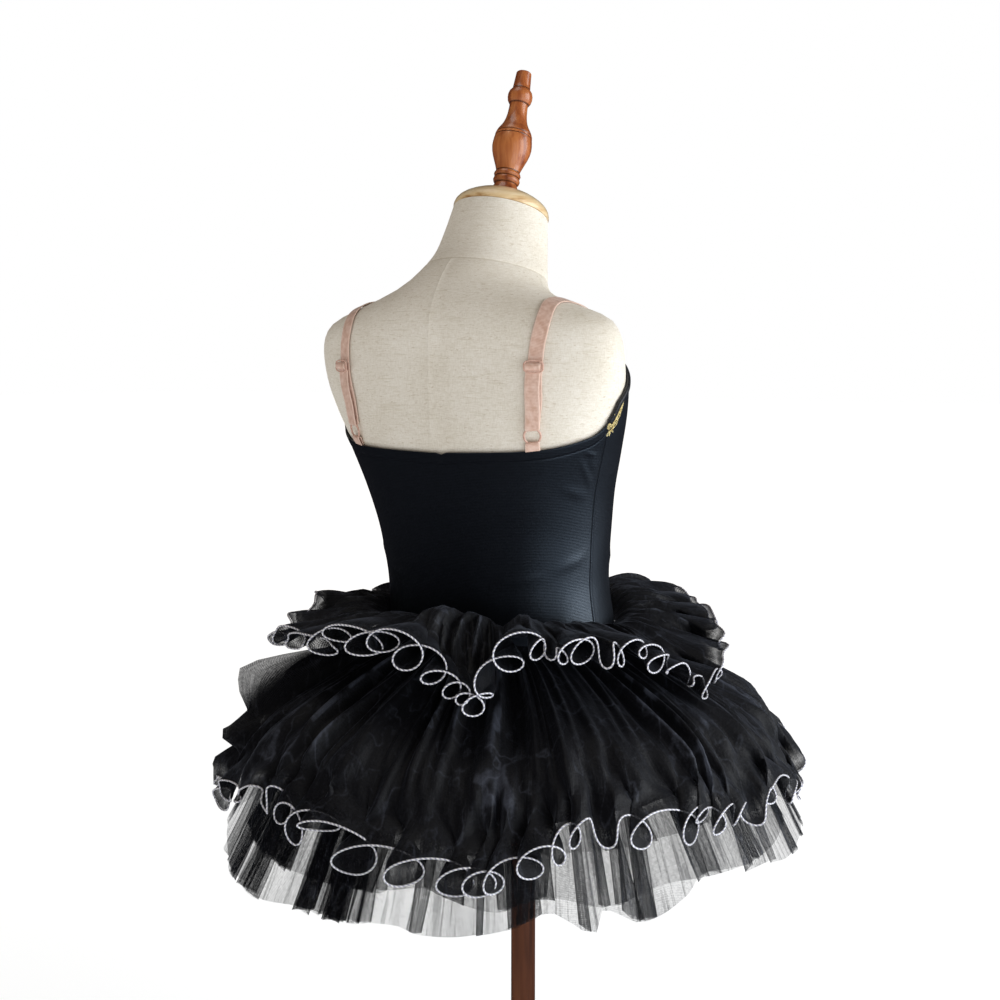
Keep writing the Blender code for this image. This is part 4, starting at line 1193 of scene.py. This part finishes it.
net_finish = tulle("stiff_net", 0.20, 0.22, 0.08, 1.0, 0.26, 4.0)
outer_net = pleated_net("outer_net", OUTER_NET, turns_of(OUTER_BUNDLES, 44.0, 3, 9.0), OUTER_HEM,
                        5, "net_outer")
INNER_HEM = table(
    EdgePoint,
    (0.0, 0.283), (70.0, 0.280), (96.0, 0.285), (104.0, 0.292), (109.0, 0.287), (118.0, 0.279),
    (127.0, 0.288), (139.0, 0.280), (150.0, 0.288), (164.0, 0.285), (190.0, 0.281),
    (280.0, 0.280), (360.0, 0.283))
INNER_BUNDLES = table(Bundle, (41.0, 74.0, 5.2, 3.9), (79.0, 97.0, 4.2, 3.3))
pleated_net("inner_net", INNER_NET, turns_of(INNER_BUNDLES, 40.0, 21, 12.0), INNER_HEM, 8,
            "net_inner")
SHORT_HEM = table(
    EdgePoint, (0.0, 0.304), (90.0, 0.301), (140.0, 0.305), (220.0, 0.300), (360.0, 0.304))
SHORT_BUNDLES = table(Bundle, (41.0, 74.0, 4.4, 2.6))
pleated_net("short_net", SHORT_NET, turns_of(SHORT_BUNDLES, 40.0, 33, 12.0), SHORT_HEM, 9,
            "net_short")

satin = Finish("black_satin", (0.008, 0.008, 0.011), 0.42, Specular_IOR_Level=0.4)
thread = satin.noise(satin.place((900, 900, 90)), 1.0, 2.0)
satin.feed(Base_Color=satin.ramp(thread, (0.35, (0.006, 0.006, 0.008)),
                                 (0.7, (0.013, 0.013, 0.017))),
           Roughness=0.36 + thread * 0.2)
satin.relief(thread, 0.0001, 0.5)
LINING_HEM = table(
    EdgePoint, (0.0, 0.322), (60.0, 0.324), (90.0, 0.326), (130.0, 0.3196), (145.0, 0.3206),
    (200.0, 0.323), (270.0, 0.320), (360.0, 0.322))
grid = []
for row in range(16):
    share = 1 - row / 15
    line = []
    for column in range(288):
        degrees = column * 1.25
        ribs = skirt_ribs(LINING, AXIS_Y["net"], degrees)
        place = on_ribs(LINING, ribs, share)
        turn = math.radians(degrees)
        wave = (0.0018 * math.sin(9 * turn) + 0.0013 * math.sin(14 * turn + 1.1)
                + 0.0008 * math.sin(23 * turn + 0.4)) * share ** 1.3
        place += Vector((math.cos(turn), math.sin(turn), 0.0)) * wave
        place.z += (smooth_value(LINING_HEM, "height", degrees) - 0.322) * share ** 2
        line.append(place)
    grid.append(line)
lining = tulle_sheet("satin_skirt", grid, [column * 0.0034 for column in range(288)],
                     [row * 0.008 for row in range(16)], {}, satin)
around = sum((a - b).length for a, b in zip(grid[0], grid[0][1:] + grid[0][:1]))
deep = sum((low[0] - high[0]).length for low, high in zip(grid, grid[1:]))
cut_area(grid)
set_down(lining, Matrix(), "black_satin", "lining_skirt")

# ---- the peplum and the tier with their corded edges --------------------------------------
# Two ruffles of soft tulle, cut far longer than the waist. A white and silver cord sewn to
# the edge keeps the extra length rolled into loops, no two of them alike.
PEPLUM = (Ring(0.0, 0.0, 0.4520, 0.0), Ring(0.44, 0.135, 0.4630, 0.7),
          Ring(1.0, 0.188, 0.4450, 1.0))
TIER = (Ring(0.0, 0.0, 0.4450, 0.0), Ring(0.31, 0.150, 0.4220, 0.7),
        Ring(0.63, 0.207, 0.3750, 1.0), Ring(1.0, 0.243, 0.3200, 1.0))
# One row for each roll of the edge: where it stands, the height of its middle, how far the
# cord swings along the edge and up and down (mm). Swings below 0 close into loops.
Roll = namedtuple("Roll", "angle height along up")
TIER_ROLLS = table(
    Roll,
    (43.7, 0.3051, -9.1, 7.5), (52.0, 0.3230, -5.0, 8.0), (61.0, 0.3334, -6.2, 6.2),
    (71.5, 0.3428, 4.0, 12.0), (78.3, 0.3397, -5.9, 11.8), (82.5, 0.3286, -5.1, 12.0),
    (87.8, 0.3391, -14.4, 8.6), (95.9, 0.3172, -16.3, 12.8), (103.2, 0.3157, -14.7, 13.3),
    (110.6, 0.3087, -11.8, 11.8), (116.3, 0.3094, -9.7, 11.1), (119.7, 0.3090, -5.6, 8.3),
    (125.7, 0.3232, -11.1, 11.8), (129.8, 0.3297, -4.2, 8.3), (132.5, 0.3448, -4.8, 13.0),
    (138.7, 0.3391, 3.0, 8.0), (143.9, 0.3423, -11.9, 14.5), (151.4, 0.3361, -11.4, 10.7),
    (155.4, 0.3456, -7.3, 8.3), (161.2, 0.3333, -7.3, 7.3), (165.4, 0.3399, -5.9, 10.3),
    (171.5, 0.3293, 2.0, 7.6), (177.6, 0.3428, -11.5, 10.7), (185.3, 0.3323, -8.6, 9.4),
    (192.5, 0.3240, 3.0, 7.0), (199.7, 0.3160, -5.8, 8.3))
PEPLUM_ROLLS = table(
    Roll,
    (41.1, 0.4396, -5.0, 6.6), (51.0, 0.4460, 2.0, 6.0), (60.0, 0.4512, -12.6, 9.5),
    (73.4, 0.4515, -6.1, 6.1), (79.9, 0.4668, -11.3, 9.0), (88.6, 0.4590, -12.6, 7.4),
    (94.4, 0.4647, -10.2, 9.5), (100.4, 0.4575, -13.1, 13.1), (104.2, 0.4444, -9.4, 8.7),
    (107.2, 0.4326, -6.5, 7.2), (109.8, 0.4290, -4.3, 7.2), (112.9, 0.4200, -6.6, 6.0),
    (116.9, 0.4324, -4.3, 5.8), (123.3, 0.4596, -12.2, 12.9), (128.5, 0.4637, -6.5, 8.6),
    (131.9, 0.4605, 2.0, 5.8), (135.9, 0.4570, -4.3, 5.8), (139.9, 0.4613, -12.3, 11.6),
    (143.7, 0.4553, 2.0, 8.7), (146.7, 0.4559, -5.8, 10.2), (151.7, 0.4566, -6.6, 5.9),
    (156.9, 0.4471, -11.1, 8.2), (163.3, 0.4413, -5.3, 5.3), (170.1, 0.4293, -3.8, 6.9),
    (177.6, 0.4145, -8.6, 7.0), (185.0, 0.4240, -10.3, 10.3))


def rolls_all_round(rolls, count, low, high, seed):
    """Carry the rolls on round the front, as uneven as the ones in the table."""
    chance = random.Random(seed)
    start, end = rolls[-1].angle, rolls[0].angle + 360.0
    rows = list(rolls)
    for index in range(1, count + 1):
        share = (index + chance.uniform(-0.22, 0.22)) / (count + 1)
        swing = chance.choice((-1, -1, -1, -1, 0.3)) * chance.uniform(5.0, 13.0)
        rows.append(Roll(start + (end - start) * share, chance.uniform(low, high), swing,
                         chance.uniform(6.0, 12.0)))
    return rows


def roll_value(rolls, position, column):
    """Smooth value of a column round a closed table."""
    count = len(rolls)
    index = math.floor(position)
    u = position - index

    def value(i):
        turns, place = divmod(i, count)
        return getattr(rolls[place], column) + (360.0 * turns if column == "angle" else 0.0)

    before, start, end, after = (value(index + step) for step in (-1, 0, 1, 2))
    return 0.5 * (2 * start + (end - before) * u + (2 * before - 5 * start + 4 * end - after)
                  * u ** 2 + (3 * start - before - 3 * end + after) * u ** 3)


def swing_for(loop, gap):
    """How far the cord must swing for a loop of a given half width, in mm."""
    if loop >= 0:
        return loop
    pace, low, high = gap / math.tau, gap / math.tau, 60.0
    for _ in range(30):
        middle = (low + high) / 2
        turn = math.acos(pace / middle)
        if middle * math.sin(turn) - pace * turn < -loop:
            low = middle
        else:
            high = middle
    return -low


def fold_wave(count, turn, share, phases):
    """Uneven folds running down a ruffle: narrow crests near 1, broad hollows near -0.6."""
    wander = (2.6 * math.sin(5 * turn + phases[1]) + 1.7 * math.sin(13 * turn + phases[5])
              + 2.4 * share * math.sin(4.2 * share + 9 * turn + phases[4])
              + 1.3 * share * math.sin(9.0 * share + 21 * turn + phases[2]))
    return 2 * (0.5 + 0.5 * math.sin(round(count) * turn + phases[0] + wander)) ** 2.4 - 0.7


SOLID = 0.84


def ruffle(name, rings, rolls, rolled, gathers, seed, node, fins, reach):
    """A gathered ruffle. Its edge rolls from the share rolled on, and is thin at the end."""
    chance = random.Random(seed)
    axis_y, per_roll, rows = AXIS_Y[node], 22, 24
    columns = len(rolls) * per_roll
    swings = []
    for index, roll in enumerate(rolls):
        following = rolls[(index + 1) % len(rolls)].angle + 360.0 * (index + 1 == len(rolls))
        before = rolls[index - 1].angle - 360.0 * (index == 0)
        gap = math.radians((following - before) / 2) * rings[-1].radius * 1000.0
        swings.append(roll._replace(along=swing_for(roll.along, gap)))
    phases = [chance.uniform(0, math.tau) for _ in range(6)]
    grid, lines, crests = ([[] for _ in range(rows)] for _ in range(3))
    for column in range(columns):
        position = column / per_roll
        degrees = roll_value(rolls, position, "angle")
        edge_rise = roll_value(rolls, position, "height") - rings[-1].height
        along = roll_value(swings, position, "along") * MM
        up = roll_value(rolls, position, "up") * MM
        psi = math.tau * position
        turn = math.radians(degrees)
        ribs = skirt_ribs(rings, axis_y, degrees)
        radial = Vector((math.cos(turn), math.sin(turn), 0.0))
        sideways = Vector((-math.sin(turn), math.cos(turn), 0.0))
        short = (1 - smooth_value(reach, "share", degrees % 360.0)) * rings[-1].radius
        gain = 0.60 + 0.40 * math.sin(8 * turn + phases[2])
        for row in range(rows):
            share = 1 - row / (rows - 1)
            place = on_ribs(rings, ribs, share)
            amount = eased((share - rolled) / (1 - rolled))
            soft = math.sin(math.pi * min(share * 1.15, 1.0)) * (1 - 0.6 * amount)
            sway = (0.0050 * math.sin(3.1 * share + 9 * turn + phases[4]) * share
                    + 0.0035 * math.sin(6.0 * share + 17 * turn + phases[3]) * share)
            fin_out, fin_up = fins_at(fins, degrees, share)
            fine = fold_wave(gathers, turn, share, phases) * gain
            finer = fold_wave(1.9 * gathers, turn + 0.4, share, phases[::-1]) * (1.1 - share)
            crumple = (math.sin(31 * turn + 11 * share + phases[0])
                       + math.sin(47 * turn - 17 * share + phases[3])
                       + 0.9 * math.sin(83 * turn + 21 * share + 2 * math.sin(9 * turn))
                       + 0.7 * math.sin(127 * turn - 27 * share)) * 0.0016 * share
            out = ((fine * 0.0060 + finer * 0.0022) * soft + crumple + fin_out - short * share
                   + 0.0035 * math.sin(psi + 0.8) * eased(share) * (1 - amount)
                   + 0.0045 * math.sin(psi) * amount)
            place += radial * out + sideways * (sway + along * math.sin(psi) * amount ** 1.3)
            place.z += (edge_rise * eased(share) - up * math.cos(psi) * amount ** 1.2
                        + (fine * 0.0014 + finer * 0.0006) * soft + fin_up)
            grid[row].append(place)
            thick = 1.0 - 0.9 * eased((share - SOLID) / (1.0 - SOLID))
            lines[row].append(max(thick - 22.0 * fin_out, 0.0) + 0.5 * (row == 0))
            # Mask of the painted sheen: how high the point sits on a fold's crest, halved where the
            # edge rolls.
            crests[row].append(max(0.8 * fine + 0.3 * finer, 0.0) * (1 - 0.5 * amount))
    widths, total = [], 0.0
    for before, after in zip(grid[0], grid[0][1:] + grid[0][:1]):
        widths.append(total)
        total += (after - before).length
    length = sum((low[0] - high[0]).length for low, high in zip(grid, grid[1:]))
    piece = tulle_sheet(name, grid, widths, [length * row / (rows - 1) for row in range(rows)],
                        {"dense": lines, "crest": crests}, soft_tulle)
    return piece, grid, (total, length)


CORD_RADIUS = 0.00085
CORD_STEP = 0.0009
CORD_LAY = 0.0034


def twisted_cord(name, grid, node):
    """Two strands twisted together, sewn along the sheet's edge: a closed loop."""
    path = [low + (low - above).normalized() * CORD_RADIUS for low, above in zip(*grid[:2])]
    # Even steps along the path.
    spots, carry = [], 0.0
    for start, end in zip(path, path[1:] + path[:1]):
        span = (end - start).length
        at = carry
        while at < span:
            spots.append(start.lerp(end, at / span))
            at += CORD_STEP
        carry = at - span
    total = len(spots)
    for _ in range(2):
        spots = [(spots[i - 1] + spots[i] * 2 + spots[(i + 1) % total]) / 4
                 for i in range(total)]
    tangents = [(spots[(i + 1) % total] - spots[i - 1]).normalized() for i in range(total)]
    normal = tangents[0].orthogonal().normalized()
    turns = round(total * CORD_STEP / CORD_LAY)
    places, outlines, twist = [], [], []
    for index, (spot, tangent) in enumerate(zip(spots, tangents)):
        normal = (normal - tangent * normal.dot(tangent)).normalized()
        places.append((spot, normal.copy(), tangent.cross(normal)))
        lay = math.tau * turns * index / total
        outlines.append([])
        for side in range(8):
            angle = math.tau * side / 8
            wide = CORD_RADIUS * (0.76 + 0.24 * math.cos(2 * (angle - lay)))
            outlines[-1].append((math.cos(angle) * wide, math.sin(angle) * wide))
            twist.append(0.5 + 0.5 * math.cos(angle - lay))
    piece = tube(name, places, outlines, silver, True)
    piece.data.attributes.new("strand", "FLOAT", "POINT").data.foreach_set("value", twist)
    set_down(piece, Matrix(), "silver_cord", node)
    return piece


# Where the cloth stands out from the even ruffle: a fin runs to a point, at a place along
# the edge (degrees) and down the cloth (share), with its half widths, outwards and upwards.
Fin = namedtuple("Fin", "angle share wide tall out up blunt")
TIER_FINS = table(
    Fin,
    (41.0, 0.42, 6.5, 0.24, 0.074, 0.016, 1.0), (44.5, 0.67, 4.5, 0.09, 0.032, 0.005, 1.0),
    (37.0, 0.88, 7.0, 0.14, 0.014, 0.000, 1.0), (199.0, 0.62, 6.0, 0.16, 0.008, 0.003, 1.0),
    (262.0, 0.55, 7.0, 0.22, 0.030, 0.006, 1.0), (318.0, 0.60, 6.0, 0.20, 0.022, 0.004, 1.0))
PEPLUM_FINS = table(
    Fin,
    (106.5, 0.38, 13.5, 0.34, 0.003, 0.013, 4.0), (112.0, 0.30, 6.0, 0.24, 0.003, 0.005, 2.0),
    (128.0, 0.40, 9.0, 0.30, 0.002, 0.005, 2.0), (236.0, 0.50, 22.0, 0.60, 0.000, 0.010, 3.0),
    (352.0, 0.60, 18.0, 0.50, 0.000, 0.008, 2.0), (300.0, 0.50, 9.0, 0.40, 0.004, 0.010, 2.0))
Reach = namedtuple("Reach", "angle share")
TIER_REACH = [Reach(0.0, 1.0), Reach(360.0, 1.0)]
PEPLUM_REACH = table(
    Reach,
    (-10.0, 0.88), (15.0, 0.86), (30.0, 0.92), (44.0, 1.03), (60.0, 1.0), (180.0, 1.0),
    (195.0, 0.97), (210.0, 0.91), (225.0, 0.89), (240.0, 0.94), (260.0, 1.0), (325.0, 0.98),
    (350.0, 0.88), (375.0, 0.86))


def fins_at(fins, degrees, share):
    """How far the fins carry a place of the cloth outwards and upwards."""
    out = up = 0.0
    for fin in fins:
        away = abs((degrees - fin.angle + 180.0) % 360.0 - 180.0) / fin.wide
        along = abs(share - fin.share) / fin.tall
        if away < 1 and along < 1:
            height = (1 - away ** fin.blunt) * (1 - along ** max(fin.blunt, 1.2))
            out += fin.out * height
            up += fin.up * height
    return out, up


soft_tulle = tulle("soft_tulle", 0.36, 0.22, 0.12, 0.4, 0.72, 1.0)
silver = Finish("silver_cord", (0.80, 0.80, 0.85), 0.38, Specular_IOR_Level=0.5)
strand = silver.read("strand")
grain = silver.noise(silver.place(), 2400.0, 2.0)
silver.feed(Base_Color=silver.ramp(strand * 0.75 + grain * 0.25,
                                   (0.22, (0.46, 0.46, 0.58)), (0.45, (0.80, 0.80, 0.88)),
                                   (0.70, (0.98, 0.98, 1.0))),
            Roughness=0.30 + grain * 0.25, Metallic=0.45 - strand * 0.4)
silver.relief(grain, 0.0001, 0.5)
for name, node, rings, rolls, rolled, gathers, seed, fins, reach in (
        ("tier_ruffle", "tier", TIER, rolls_all_round(TIER_ROLLS, 19, 0.315, 0.341, 4), 0.72, 44,
         12, TIER_FINS, TIER_REACH),
        ("peplum_ruffle", "peplum", PEPLUM, rolls_all_round(PEPLUM_ROLLS, 17, 0.430, 0.458, 6),
         0.60, 58, 15, PEPLUM_FINS, PEPLUM_REACH)):
    piece, grid, flat = ruffle(name, rings, rolls, rolled, gathers, seed, node, fins, reach)
    trim = twisted_cord(node + "_edge_cord", grid, node + "_cord")
    cut_area(grid)
    set_down(piece, Matrix(), "black_tulle", node)

# ---- finish --------------------------------------------------------------------------------
low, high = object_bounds()
